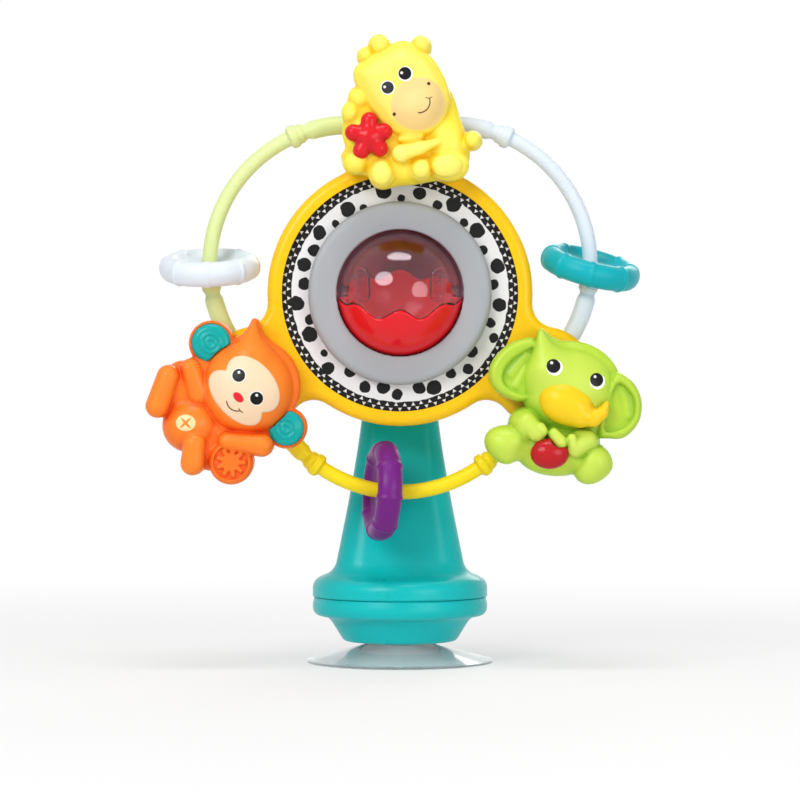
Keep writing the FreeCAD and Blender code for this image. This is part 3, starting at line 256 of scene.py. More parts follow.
def join(first, second, blend=1.2):
    """The union of two forms with a soft crease."""
    near = np.maximum(blend - np.abs(first - second), 0) / blend
    return np.minimum(first, second) - near * near * blend / 4


def overlap(first, second, blend=0.8):
    """What two forms share, with a soft edge."""
    return -join(-first, -second, blend)


def carve(first, second, blend=0.8):
    """The first form without the second, with a soft edge."""
    return -join(-first, second, blend)


def egg(p, x, z, wide, high, top, turn=0, base=BASE):
    """An upright oval column with a domed top; top is the depth of its crest."""
    c, s = math.cos(math.radians(turn)), math.sin(math.radians(turn))
    rise = top - base
    u = ((p[0] - x) * c + (p[1] - z) * s) / wide
    v = ((p[1] - z) * c - (p[0] - x) * s) / high
    w = np.maximum(p[2] - base, 0) / rise
    far = np.sqrt(u * u + v * v + w * w)
    steep = np.sqrt((u / wide) ** 2 + (v / high) ** 2 + (w / rise) ** 2)
    return far * (far - 1) / np.maximum(steep, 1e-4)


def limb(p, start, end, radius, end_radius, crest, end_crest=None):
    """A bar with a round back between two (x, z) points; crest is the depth of its back."""
    end_crest = crest if end_crest is None else end_crest
    dx, dz = end[0] - start[0], end[1] - start[1]
    share = ((p[0] - start[0]) * dx + (p[1] - start[1]) * dz) / max(dx * dx + dz * dz, 1e-6)
    share = np.clip(share, 0, 1)
    reach = radius + (end_radius - radius) * share
    depth = crest + (end_crest - crest) * share - reach
    u = p[0] - start[0] - share * dx
    v = p[1] - start[1] - share * dz
    w = np.maximum(p[2] - depth, 0)
    return np.sqrt(u * u + v * v + w * w) - reach


def many(p, form, rows, blend=1.2):
    """One kind of form at several places, run together."""
    field = form(p, *rows[0])
    for row in rows[1:]:
        field = join(field, form(p, *row), blend)
    return field


def oval(p, x, z, wide, high, turn=0):
    """The upright distance to an ellipse: negative inside."""
    return egg([p[0], p[1], np.full_like(p[2], BASE)], x, z, wide, high, BASE + 1, turn)


def loop(points, steps=4):
    """A smooth closed curve through (x, z) points, as short straight steps."""
    curve = []
    count = len(points)
    for number in range(count):
        before, start, end, after = (np.array(points[(number + step) % count]) for step in (-1, 0, 1, 2))
        for step in range(steps):
            t = step / steps
            bend = 3 * (start - end) - before + after
            pull = 2 * before - 5 * start + 4 * end - after
            curve.append(tuple(start + 0.5 * t * (end - before + t * (pull + t * bend))))
    return curve


def outline(p, corners):
    """The upright distance to a closed outline: negative inside."""
    x, z = (part[..., :1] if part.ndim == 3 else part for part in p[:2])
    near = np.full(x.shape, 1e9)
    inside = np.zeros(x.shape, bool)
    for (ax, az), (bx, bz) in zip(corners, corners[1:] + corners[:1]):
        ex, ez = bx - ax, bz - az
        share = np.clip(((x - ax) * ex + (z - az) * ez) / (ex * ex + ez * ez), 0, 1)
        near = np.minimum(near, (x - ax - share * ex) ** 2 + (z - az - share * ez) ** 2)
        if ez:
            inside ^= ((az > z) != (bz > z)) & (x < ax + (z - az) * ex / ez)
    return np.where(inside, -1, 1) * np.sqrt(near)


def pillow(p, far, crest, drop, fillet):
    """A raised form over an outline: full in its middle and rounded down towards its edge."""
    share = np.clip(-far / fillet, 0, 1)
    top = crest - drop * (1 - share) ** 2
    return overlap(far, 0.7 * (p[2] - top), 1.0)


def surface(field, low, high, step):
    """Points and quads of a field's zero surface, one point in every grid cell that it crosses."""
    axes = [np.arange(a, b + step, step) for a, b in zip(low, high)]
    values = field(np.meshgrid(*axes, indexing="ij"))
    inside = values < 0
    size = [n - 1 for n in inside.shape]
    count = np.zeros(size, np.int8)
    for corner in itertools.product((0, 1), repeat=3):
        count += inside[tuple(slice(c, c + n) for c, n in zip(corner, size))]
    active = (count > 0) & (count < 8)
    index = np.full(size, -1)
    index[active] = np.arange(active.sum())
    cells = np.argwhere(active)
    total = np.zeros((len(cells), 3))
    hits = np.zeros(len(cells))
    for axis in range(3):
        for corner in itertools.product((0, 1), repeat=2):
            start = np.insert(np.array(corner), axis, 0)
            end = np.insert(np.array(corner), axis, 1)
            before = values[tuple((cells + start).T)]
            after = values[tuple((cells + end).T)]
            crossed = (before < 0) != (after < 0)
            share = before[crossed] / (before[crossed] - after[crossed])
            total[crossed] += start + share[:, None] * (end - start)
            hits[crossed] += 1
    points = np.array(low) + (cells + total / hits[:, None]) * step
    quads = []
    for axis in range(3):
        solid = np.moveaxis(inside, axis, 0)
        cell = np.moveaxis(index, axis, 0)
        change = (solid[:-1] != solid[1:])[:, 1:-1, 1:-1]
        ring = [cell[:, :-1, :-1], cell[:, 1:, :-1], cell[:, 1:, 1:], cell[:, :-1, 1:]]
        faces = np.stack([corner[change] for corner in ring], 1)
        outward = solid[:-1, 1:-1, 1:-1][change] ^ (axis == 1)
        faces[~outward] = faces[~outward][:, ::-1]
        quads.append(faces)
    for _ in range(3):
        value = field(points.T)
        slope = gradient(field, points)
        steep = np.maximum((slope * slope).sum(1), 0.25)
        shift = np.clip(value / steep, -step / 2, step / 2)
        points -= shift[:, None] * slope
    return points, np.concatenate(quads)


def gradient(field, points, span=0.1):
    """How a field changes along x, z and the depth at each point."""
    parts = []
    for axis in range(3):
        offset = np.zeros(3)
        offset[axis] = span
        parts.append((field((points + offset).T) - field((points - offset).T)) / (2 * span))
    return np.stack(parts, 1)


def creases(field, points):
    """How shut in each point is: 0 in the open and 1 at the bottom of a fold. These values place the painted
    shade in the creases.
    """
    slope = gradient(field, points)
    normal = slope / np.maximum(np.linalg.norm(slope, axis=1), 1e-6)[:, None]
    shut = np.zeros(len(points))
    for reach in (1.5, 3.5, 7.0):
        shut += 1 - np.clip(field((points + normal * reach).T) / reach, 0, 1)
    return np.clip(shut / 3 * 1.15, 0, 1)


def add_mesh(name, points, faces, crease=None):
    """A smooth mesh object from frame metres."""
    mesh = bpy.data.meshes.new(name)
    mesh.from_pydata([tuple(point) for point in points], [], [tuple(int(i) for i in face) for face in faces])
    mesh.polygons.foreach_set("use_smooth", np.ones(len(mesh.polygons), bool))
    # The crease values go into an attribute that places painted shade in the folds.
    if crease is not None:
        mesh.attributes.new("crease", "FLOAT", "POINT").data.foreach_set("value", crease)
    item = bpy.data.objects.new(name, mesh)
    bpy.context.scene.collection.objects.link(item)
    return item


def in_frame(points):
    """Wheel points in millimetres as frame points in metres."""
    return np.stack([points[:, 0], -points[:, 2], points[:, 1] + AXLE], 1) * MM


def piece(item, body, slot, material, *nodes):
    """Dresses a piece, lets it ride on a body and hides the nodes that it stands for."""
    item.data.materials.append(material)
    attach(item, body)
    if nodes:
        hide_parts(*nodes)
    return item


# The grid's step for the animals.
STEP = 0.55


def sculpt(name, field, low, high, slot, material, *nodes, step=STEP, body="wheel"):
    """A piece with the shape of a field, looked for between two corners."""
    points, quads = surface(field, low, high, step)
    item = add_mesh(name, in_frame(points), quads, creases(field, points))
    return piece(item, body, slot, material, *nodes)


# Animals


GIRAFFE_BODY = loop([
    (-21.7, 101.7), (-26.8, 90.3), (-28.6, 78.9), (-27.0, 71.4), (-29.1, 66.9), (-25.5, 59.7), (-15.4, 57.2),
    (-9.1, 51.1), (2.3, 53.4), (14.9, 54.7), (27.5, 57.2), (34.2, 65.7), (32.9, 73.9), (29.8, 85.3),
    (25.6, 98.5), (16.2, 110.5), (-1.5, 114.3),
])
GIRAFFE_FACE = loop([
    (-0.3, 120.4), (-12.8, 114.2), (-20.3, 107.3), (-15.9, 97.2), (-9.6, 87.8), (-2.8, 81.0), (7.3, 78.1),
    (17.3, 82.2), (21.7, 91.6), (20.8, 101.0), (14.8, 112.3), (6.0, 119.2),
])


def giraffe_parts(p):
    """The giraffe without its flat back: head, ears, mane, body, legs, arm and tail."""
    body = pillow(p, outline(p, GIRAFFE_BODY), 73.5, 4.5, 6)
    body = join(body, many(p, egg, [
        (23.0, 73.5, 10.6, 17.5, 77.2, 12),
        (-18.5, 79, 9.2, 11.5, 75.5),
        (-21.6, 64.2, 6.6, 6.2, 77, 20, 70),
        (2, 61.5, 17, 8.6, 75.5),
        (-19.9, 95.8, 5.7, 5.6, 77, 0, 71),
        (-24.4, 88.2, 4.4, 5.4, 76.5, 0, 71),
    ], 1.5), 1.2)
    body = join(body, many(p, egg, [
        (-9.0, 58.4, 6.6, 7.4, 78.5, 0, 73),
        (24.0, 62.4, 10.0, 7.9, 78.5, 0, 73),
        (10.2, 60.6, 6.0, 6.2, 78, 0, 73),
    ], 0.8), 1.0)
    body = join(body, many(p, egg, [
        (-9.0, 58.2, 5.2, 6.0, 80.5, 0, 76.5),
        (22.9, 61.9, 7.7, 5.9, 80.7, 0, 76.5),
        (10.4, 60.4, 4.6, 4.8, 79.8, 0, 76.5),
        (5.2, 75.6, 6.6, 3.2, 77.6, 8, 75),
    ], 0.5), 0.6)
    body = join(body, limb(p, (18.6, 73.6), (9.6, 70.4), 1.9, 3.4, 78.2, 80.5), 1.6)
    body = join(body, join(limb(p, (9.6, 70.4), (0.8, 67.6), 3.4, 4.2, 80.5, 81),
                           egg(p, 0.6, 67.6, 4.6, 4.5, 82, 0, 77.5), 0.8), 1.2)
    tail = limb(p, (30.6, 72.2), (35.4, 74.6), 2.8, 2.6, 74)
    tail = join(tail, egg(p, 35.8, 74.8, 5.0, 5.0, 76, 0, 66), 1.5)
    body = join(body, join(tail, egg(p, 35.8, 74.8, 3.9, 3.9, 77.6, 0, 73.5), 0.5), 1.2)
    ears = many(p, limb, [
        ((8.4, 113.0), (10.5, 120.9), 4.8, 5.3, 76.5),
        ((-6.5, 115.0), (-10.0, 121.0), 5.4, 5.9, 76.5),
        ((-13.0, 112.0), (-16.5, 115.9), 4.6, 4.8, 75.5),
    ], 1)
    ears = join(ears, many(p, egg, [
        (10.5, 121.0, 4.2, 4.2, 78.2, 0, 74),
        (-9.6, 121.1, 4.9, 4.6, 78.4, 0, 74),
        (-16.8, 116.1, 3.7, 3.7, 77.4, 0, 73),
    ], 1), 0.5)
    face = outline(p, GIRAFFE_FACE)
    rim = pillow(p, face - 2.7, 78.0, 3.5, 4)
    head = pillow(p, face, 83.6, 6.5, 10)
    head = join(head, egg(p, 8.9, 91.4, 14.2, 12.5, 84.4, 20), 2.5)
    return join(join(join(body, ears, 1.2), rim, 0.8), head, 0.8)


MONKEY_HEAD = (-75.2, -47.1)
# Each of the monkey's ears: its centre and the radii of its rim, its cup and the disc in it.
MONKEY_EARS = [(-92.9, -25.0, 11.2, 9.9, 9.7), (-56.0, -66.8, 10.2, 9.0, 8.8)]
# The centre and radius of the cut fruit that the monkey holds.
FRUIT = (-83.0, -83.6, 11.0)


def monkey_parts(p):
    """The monkey without its face and the discs of its ears."""
    body = many(p, egg, [
        (-103.0, -65.2, 14.4, 13.6, 78.5, 20),
        (-107.5, -47.5, 10.5, 14, 74),
        (-97.5, -38.5, 8, 9, 73),
        (-88.5, -70, 8, 8, 73),
        (-92.5, -78.5, 10.5, 9.5, 73),
    ], 2.5)
    limbs = many(p, limb, [
        ((-102.8, -37.5), (-98.8, -49.5), 5.0, 6.6, 77.5, 77),
        ((-113.8, -41.3), (-119.1, -55.9), 5.6, 5.9, 79),
        ((-100.9, -74.3), (-101.8, -84.1), 5.4, 5.9, 80.5),
        ((-84.6, -73.2), (-67.9, -75.2), 4.8, 5.8, 78, 79),
    ], 1)
    body = join(body, limbs, 1.3)
    across, up = p[0] - FRUIT[0], p[1] - FRUIT[1]
    reach = np.hypot(across, up)
    fruit = pillow(p, reach - FRUIT[2], 76.2, 3.0, 3.2)
    beside = np.abs(np.sin(4.5 * np.arctan2(up, across))) * reach * 2 / 9
    slots = np.maximum(1.0 - beside, np.abs(reach - 5.0) - 3.1)
    hollow = np.maximum(np.minimum(slots, np.abs(reach - 7.9) - 0.55), 74.6 - p[2])
    body = join(body, carve(fruit, hollow, 0.5), 0.8)
    rims, cups = [], []
    for x, z, rim, cup, _ in MONKEY_EARS:
        far = np.hypot(p[0] - x, p[1] - z)
        rims.append(pillow(p, far - rim, 72.6, 3, 3.2))
        cups.append(far - cup)
    ears = carve(join(*rims), np.maximum(np.minimum(*cups), 70.6 - p[2]), 0.5)
    body = join(body, ears, 0.6)
    rim = egg(p, -74.2, -46.5, 25.0, 24.4, 74, 0, 69)
    rim = join(rim, limb(p, (-71.4, -14.6), (-72.4, -28), 1.8, 8.4, 73.6), 5)
    return join(body, join(monkey_head(p), rim, 0.7), 0.8)


def monkey_head(p):
    """The front of the monkey's head, with its tuft."""
    tuft = limb(p, (-71.9, -16.4), (-73.0, -29), 1.7, 8.0, 75.5, 79.5)
    return join(egg(p, *MONKEY_HEAD, 23.8, 23.6, 84.2), tuft, 7)


def monkey_face(p):
    """The cream mask: two long lobes that lean over the head's dome."""
    lobes = join(oval(p, -80.6, -52.0, 16.8, 8.9, -47), oval(p, -71.8, -45.2, 16.2, 10.2, -49), 1.0)
    return overlap(overlap(monkey_head(p) - 0.35, lobes, 0.7), 72 - p[2])


LEFT_EAR = loop([
    (67.3, -24.2), (58.3, -23.3), (49.4, -28.7), (43.9, -37.4), (45.4, -46.4), (52.4, -51.8), (61, -53.4),
    (72, -45),
])
LEFT_CUP = loop([
    (67.8, -28.2), (57.8, -31.2), (51.6, -37.8), (51.0, -44.2), (55.9, -48.6), (64.3, -49.2),
])
RIGHT_EAR = loop([
    (104.2, -41.0), (113.0, -42.6), (118.0, -50.2), (118.9, -57.9), (116.8, -65.0), (110.8, -71.2),
    (103.8, -72.0), (96.6, -68.4),
])
RIGHT_CUP = loop([
    (106.2, -45.9), (113.4, -49.9), (115.2, -57.0), (113.6, -63.0), (107.8, -67.6), (100.6, -66.4),
])


def elephant_ear(p, edge, cup, folds):
    """A flat ear with a rounded rim round a dished and lightly folded middle."""
    ear = pillow(p, outline(p, edge), 75.2, 3.0, 3.0)
    ear = carve(ear, np.maximum(outline(p, cup), 72.0 - p[2]), 2.2)
    return join(ear, many(p, limb, folds), 1.5)


def elephant_parts(p):
    """The elephant without its trunk and apple."""
    body = egg(p, 76.2, -78.6, 19.4, 12.0, 78.5, -4)
    left_foot = many(p, egg, [
        (49.6, -73.4, 8.0, 7.6, 79, 0, 71),
        (52.6, -77.6, 6.6, 7.0, 78.5, 0, 71),
        (56.0, -72.8, 6.6, 6.4, 78, 0, 71),
    ], 5)
    right_foot = many(p, egg, [
        (96.8, -84.6, 7.8, 7.2, 79, 0, 71),
        (92.2, -88.0, 6.6, 6.4, 78.5, 0, 71),
        (95.4, -80.2, 5.8, 5.6, 78, 0, 71),
    ], 5)
    legs = many(p, limb, [
        ((57, -76), (66, -77.5), 6.4, 6.4, 76),
        ((86, -81), (91, -83), 6.6, 6.4, 76),
        ((92, -68), (97, -66), 5.0, 4.0, 73),
    ])
    body = join(body, join(join(left_foot, right_foot), legs, 2), 1.5)
    body = join(body, many(p, egg, [
        (61.8, -65.8, 8.6, 9.6, 80, 15),
        (90.2, -73.4, 8.6, 7.6, 80, -20),
    ], 1), 1)
    hands = many(p, limb, [
        ((62.0, -64.0), (67.0, -69.2), 4.9, 4.4, 80.5, 82),
        ((68.4, -66.8), (69.4, -68.2), 2.9, 2.9, 82.6),
        ((75.2, -69.5), (78.8, -73.6), 2.8, 3.2, 82, 83),
        ((92.0, -73.1), (85.9, -76.6), 5.2, 4.6, 80.5, 82.2),
        ((84.0, -72.0), (84.6, -75.0), 2.6, 2.6, 82.5),
    ], 0.8)
    body = join(body, hands, 0.9)
    ears = join(
        elephant_ear(p, LEFT_EAR, LEFT_CUP, [((62, -31), (54.5, -40.5), 2.4, 2.0, 73.0),
                                             ((61.5, -38), (57.0, -46.5), 2.2, 1.8, 72.8)]),
        elephant_ear(p, RIGHT_EAR, RIGHT_CUP, [((110, -50), (112, -61), 1.8, 1.8, 72.7)]), 1)
    body = join(body, ears, 1)
    rim = egg(p, 84.4, -46.6, 24.8, 22.6, 74.5, -8, 69)
    rim = join(rim, limb(p, (69.4, -19.4), (74, -33), 1.7, 10.5, 74), 5)
    head = egg(p, 83.4, -47.4, 24.2, 21.6, 81.4, -8)
    tuft = limb(p, (69.2, -20.6), (72.4, -37), 1.6, 11, 76.5, 79.5)
    head = join(join(head, tuft, 7), rim, 0.7)
    return join(body, head, 0.8)


def trunk_parts(p):
    """The raised oval of the elephant's trunk and its tip, which curls up."""
    root = egg(p, 81.2, -54.4, 13.6, 10.8, 84.6, -24, 76)
    root = join(root, egg(p, 86.8, -57.4, 8.0, 8.8, 84.2, 0, 76), 2)
    root = join(root, limb(p, (89, -61.0), (94.6, -61.8), 5.4, 4.2, 84, 82.8), 2)
    tip = many(p, limb, [
        ((94.6, -61.8), (98.8, -59.4), 4.2, 3.0, 82.8, 82),
        ((98.8, -59.4), (101.0, -55.0), 2.9, 1.4, 82, 81.4),
    ], 1)
    return overlap(join(root, tip, 1.0), 74 - p[2])


def apple_parts(p):
    """A flat round apple with a bite where a finger lies."""
    flesh = egg(p, 73.2, -79.3, 9.4, 7.5, 84.4, 0, 79)
    bite = limb(p, (78.2, -72.2), (78.3, -72.2), 4.2, 4.2, 200)
    return overlap(carve(flesh, bite, 0.6), 74 - p[2])


def flower_parts(p):
    """Five flat round petals that run together round a low middle."""
    x, z = -15.3, 76.2
    petals = []
    for turn in (88, 18, -48, -118, 166):
        across, up = math.cos(math.radians(turn)), math.sin(math.radians(turn))
        petals.append(((x + 2 * across, z + 2 * up), (x + 7.8 * across, z + 7.8 * up), 4.6, 4.2, 79.6))
    flower = many(p, limb, petals, 1.5)
    return overlap(join(flower, egg(p, x, z, 4.8, 4.8, 80.6, 0, 77), 1.5), 72 - p[2])


def ear_parts(p):
    """The two coloured discs in the monkey's ears, with a low curl on each."""
    discs = []
    for x, z, _, _, radius in MONKEY_EARS:
        far = np.hypot(p[0] - x, p[1] - z)
        disc = pillow(p, far - radius, 73.0, 1.6, 3.0)
        for ring in (2.2, 4.6):
            disc = join(disc, np.hypot(far - ring, p[2] - 72.9) - 0.5, 0.8)
        discs.append(disc)
    head = egg(p, *MONKEY_HEAD, 24.0, 23.8, 90)
    return overlap(carve(join(discs[0], discs[1]), head, 0.3), 70 - p[2], 0.3)


def front_of(parts):
    """A front shell: the figure down to the plane where the two shells meet."""
    return lambda p: overlap(parts(p), SPLIT - p[2], 0.5)


def back_of(parts, shift):
    """A back shell: the figure's outline, set in and shifted a little, with a rounded back edge."""

    def field(p):
        x, z = (part[..., :1] if part.ndim == 3 else part for part in p[:2])
        edge = parts([x - shift[0], z - shift[1], np.full_like(x, BASE)]) + 0.5
        return overlap(overlap(edge, p[2] - SPLIT, 0.3), 58 - p[2], 3)

    return field


BROWN = rgb(78, 42, 20)
BLACK = rgb(6, 5, 6)
WHITE = rgb(250, 250, 248)


def eye(tree, place, base, x, z, radius, glint, white=0.5, dark=BLACK, offset=(0, 0)):
    """A printed eye: a white round, a dark round on it and a small white glint."""
    base = tree.mix(tree.disc(place, x + offset[0], z + offset[1], radius + white), base, WHITE)
    base = tree.mix(tree.disc(place, x, z, radius), base, dark)
    return tree.mix(tree.disc(place, x + glint[0], z + glint[1], 0.2 * radius, soft=0.2), base, WHITE)


def giraffe_paint(tree, place, base):
    """The giraffe's muzzle, eyes, nostrils and mouth."""
    muzzle = tree.disc(place, 9.0, 91.6, 12.6, 1.07, 25, soft=0.5)
    base = tree.mix(muzzle, base, rgb(240, 208, 138))
    base = eye(tree, place, base, 2.4, 106.2, 3.15, (-1.6, 0.3), offset=(0.2, -0.2))
    # The second eye is dark grey instead of black: a painted reflection.
    base = eye(tree, place, base, -6.0, 99.3, 3.0, (-1.5, 0.3), dark=rgb(48, 48, 52))
    for x, z in ((14.0, 101.3), (-2.8, 86.5)):
        base = tree.mix(tree.disc(place, x, z, 0.85), base, BROWN)
    base = tree.mix(tree.stroke(place, 9.3, 92.3, 5.3, -96, 18, 0.6), base, BROWN)
    return tree.mix(tree.stroke(place, 13.8, 96.4, 2.3, -124, -40, 0.45), base, BROWN)


def monkey_paint(tree, place, base):
    """The monkey's eyes, nose and mouth."""
    base = eye(tree, place, base, -78.6, -41.0, 3.2, (0.1, 1.5), 0.3)
    base = eye(tree, place, base, -69.9, -52.2, 3.2, (0.1, 1.5), 0.3)
    base = tree.mix(tree.disc(place, -78.8, -51.7, 1.95, 1.55, -45), base, rgb(226, 32, 44))
    base = tree.mix(tree.stroke(place, -79.4, -53.2, 5.2, 182, 282, 0.6), base, BROWN)
    return tree.mix(tree.stroke(place, -76.2, -56.6, 2.4, 190, 262, 0.55), base, BROWN)


def belly_paint(tree, place, base):
    """A cream round with a cross in the shell's colour on the monkey's belly."""
    x, z = -104.9, -64.2
    patch = tree.disc(place, x, z, 4.0, 1.22)
    arms = [tree.disc(place, x, z, 0.62, 5.6, turn) for turn in (42, 132)]
    cross = tree.math("MAXIMUM", arms[0], arms[1])
    patch = tree.less(patch, cross, clamp=True)
    return tree.mix(patch, base, rgb(250, 214, 158))


def elephant_paint(tree, place, base):
    """The elephant's two eyes."""
    base = eye(tree, place, base, 75.0, -36.4, 3.45, (-0.9, 1.6), 0.5, offset=(0.5, -0.7))
    return eye(tree, place, base, 96.2, -43.1, 3.35, (-0.8, 1.5), 0.5, offset=(0.4, -0.8))


# Each moulding's second colour is painted shade for its creases, and its third, where there is one, a painted
# highlight for its crests.
LEMON = moulded("lemon_moulding", rgb(250, 231, 66), rgb(244, 198, 22), rgb(252, 241, 130), 0.34, soft=0.2,
                paint=giraffe_paint)
ORANGE = moulded("orange_moulding", rgb(246, 122, 30), rgb(234, 88, 22), rgb(248, 140, 46), 0.3, soft=0.12,
                 paint=belly_paint)
LIME = moulded("lime_moulding", rgb(186, 216, 64), rgb(150, 194, 48), rgb(202, 222, 92), 0.3, soft=0.12,
               paint=elephant_paint)
CREAM = moulded("cream_moulding", rgb(243, 212, 178), rgb(236, 188, 146), rough=0.36, soft=0.15,
                paint=monkey_paint)
RED = moulded("red_moulding", rgb(218, 24, 36), rgb(160, 14, 26), rough=0.22)
APPLE_RED = moulded("apple_moulding", rgb(172, 20, 26), rgb(120, 10, 16), rgb(184, 24, 30), rough=0.2)
EAR_TEAL = moulded("ear_teal_moulding", rgb(4, 178, 172), rgb(0, 120, 124), rough=0.2)
TRUNK_YELLOW = moulded("trunk_moulding", rgb(238, 196, 14), rgb(212, 160, 14), rgb(240, 202, 26), rough=0.28)

# Each animal's parts, the shift of its back shell, the corners round it, its slot and its plastic.
ANIMALS = {
    "giraffe": (giraffe_parts, (0.5, 0), (-34, 46), (44, 131), "lemon_plastic", LEMON),
    "monkey": (monkey_parts, (0.6, 0.4), (-128, -97), (-43, -9), "orange_plastic", ORANGE),
    "elephant": (elephant_parts, (0.6, 0.6), (38, -100), (122, -14), "lime_plastic", LIME),
}
for name, (parts, shift, low, high, slot, material) in ANIMALS.items():
    sculpt(f"{name}_shell", front_of(parts), (*low, 62), (*high, 87), slot, material, f"{name}_front")
    sculpt(f"{name}_rear", back_of(parts, shift), (*low, 57), (*high, 65), slot, material, f"{name}_back")

PIECES = [
    ("monkey_mask", monkey_face, (-98, -72, 71), (-57, -29, 87), "cream_plastic", CREAM,
     "monkey_face"),
    ("ear_inlays", ear_parts, (-105, -79, 69), (-44, -12, 76), "ear_teal", EAR_TEAL, "monkey_ears"),
    ("elephant_nose", trunk_parts, (64, -71, 73), (106, -40, 88), "trunk_yellow", TRUNK_YELLOW,
     "elephant_trunk"),
    ("fruit", apple_parts, (60, -90, 73), (86, -68, 87), "red_shell", APPLE_RED, "elephant_apple"),
    ("blossom", flower_parts, (-30, 61, 71), (-1, 91, 83), "red_shell", RED, "giraffe_flower"),
]
for row in PIECES:
    sculpt(*row)


# Tubes and rings, as rings of points along a line


def skin(name, rings, closed):
    """A mesh between rings of points: joined end to end, or closed by a point in each end. Its
    faces are all turned over if they enclose less than nothing."""
    rings = np.array(rings)
    count, around = rings.shape[:2]
    points = list(rings.reshape(-1, 3))
    faces = []
    for number in range(count if closed else count - 1):
        start, end = number * around, (number + 1) % count * around
        for place in range(around):
            after = (place + 1) % around
            faces.append((start + place, start + after, end + after, end + place))
    if not closed:
        for start, flip in ((0, 1), ((count - 1) * around, -1)):
            points.append(np.mean(points[start:start + around], axis=0))
            for place in range(around):
                faces.append((start + (place + 1) % around, start + place, len(points) - 1)[::flip])
    points = np.array(points)
    corners = np.array([face[:3] for face in faces])
    volume = (points[corners[:, 0]] * np.cross(points[corners[:, 1]], points[corners[:, 2]])).sum()
    if volume < 0:
        faces = [face[::-1] for face in faces]
    return add_mesh(name, points * MM, faces)


def outward(angle):
    """The direction in the wheel's plane at an angle, clockwise from the top."""
    return np.array((math.sin(math.radians(angle)), 0, math.cos(math.radians(angle))))


def on_arc(direction, angle):
    """A point on the middle line of the tube that bulges in a direction."""
    return outward(direction) * ARC_OFFSET + outward(angle) * ARC_RADIUS + np.array((0, -TUBE_DEPTH, AXLE))


# The way each tube bulges, in degrees clockwise from the top, and the sizes that they share.
TUBES = {"green": 300, "white": 60, "yellow": 180}
ARC_OFFSET = 29.0
ARC_RADIUS = 70.0
TUBE_DEPTH = 47.0
TUBE_RADIUS = 3.75
TUBE_HALF_ANGLE = 69
STOP_ANGLE = 36.3
SOCKET_ANGLE = 42.0
# Millimetres along the tube from a stop bulge's ridge towards the tube's end, and its height there.
STOP_PROFILE = [
    (-3.1, 0), (-2.5, 0.7), (-1.7, 1.9), (-1.1, 2.05), (1.1, 2.05), (1.7, 1.85), (2.6, 1.15), (3.6, 1.1),
    (4.6, 1.05), (5.6, 0.4), (6.6, 0),
]
TUBE_STEPS = 560
TUBE_SIDES = 40


def tube_mesh(name, direction):
    """A bent tube with a stop bulge near each end and a wider root where it enters the wheel."""
    places, heights = zip(*STOP_PROFILE)
    rings = []
    for number in range(TUBE_STEPS + 1):
        turn = TUBE_HALF_ANGLE * (2 * number / TUBE_STEPS - 1)
        past = math.radians(abs(turn) - STOP_ANGLE) * ARC_RADIUS
        root = min(max((abs(turn) - SOCKET_ANGLE) / 2.5, 0), 1)
        radius = TUBE_RADIUS + np.interp(past, places, heights) + 0.9 * root * root * (3 - 2 * root)
        out = outward(direction + turn)
        middle = on_arc(direction, direction + turn)
        circle = []
        for side in range(TUBE_SIDES):
            around = math.tau * side / TUBE_SIDES
            spoke = math.cos(around) * out + math.sin(around) * np.array((0, 1, 0))
            circle.append(middle + radius * spoke)
        rings.append(circle)
    return skin(name, rings, False)


# The upper half of a ring's section: millimetres from its axis and from its middle plane.
RING_PROFILE = [
    (24.8, 0), (24.3, 2.7), (22.9, 4.9), (20.5, 6.1), (18.0, 5.8), (16.3, 4.2), (14.6, 2.8), (11, 2.25),
    (7.0, 2.2), (5.75, 1.9), (5.3, 1.0),
]
RING_STEPS = 320
RIM_MIDDLE = 19.5
RIB_HEIGHT = 0.55
RIB_WIDTH = 1.1


def ring_mesh(name, centre, turn):
    """A teething ring: a fat soft rim with eight low ribs, a dished web and a hole for the tube."""
    section = RING_PROFILE + [(far, -side) for far, side in reversed(RING_PROFILE[1:])]
    section = np.array(loop(section, 3))
    rings = []
    for number in range(RING_STEPS):
        angle = 360 * number / RING_STEPS
        away = abs((angle + 22.5) % 45 - 22.5)
        points = []
        for far, side in section:
            near = math.radians(away) * far / RIB_WIDTH
            lift = RIB_HEIGHT * math.exp(-near * near) * min(max((far - 15) / 2.5, 0), 1)
            slope = np.array((far - RIM_MIDDLE, side))
            far, side = np.array((far, side)) + lift * slope / max(np.linalg.norm(slope), 1)
            out = far * outward(angle)
            points.append(centre + np.array(turn @ Vector((out[0], side, out[2]))))
        rings.append(points)
    return skin(name, rings, True)


TUBE_FINISH = {
    "green": ("tube_lime", moulded("tube_lime_moulding", rgb(216, 230, 158), rough=0.34, grain=0.002)),
    "white": ("tube_pale", moulded("tube_pale_moulding", rgb(216, 226, 236), rough=0.34, grain=0.002)),
    "yellow": ("tube_bright", moulded("tube_bright_moulding", rgb(246, 220, 24), rough=0.3, grain=0.002)),
}
for colour, direction in TUBES.items():
    slot, material = TUBE_FINISH[colour]
    piece(tube_mesh(f"bent_tube_{colour}", direction), "wheel", slot, material, f"tube_{colour}")

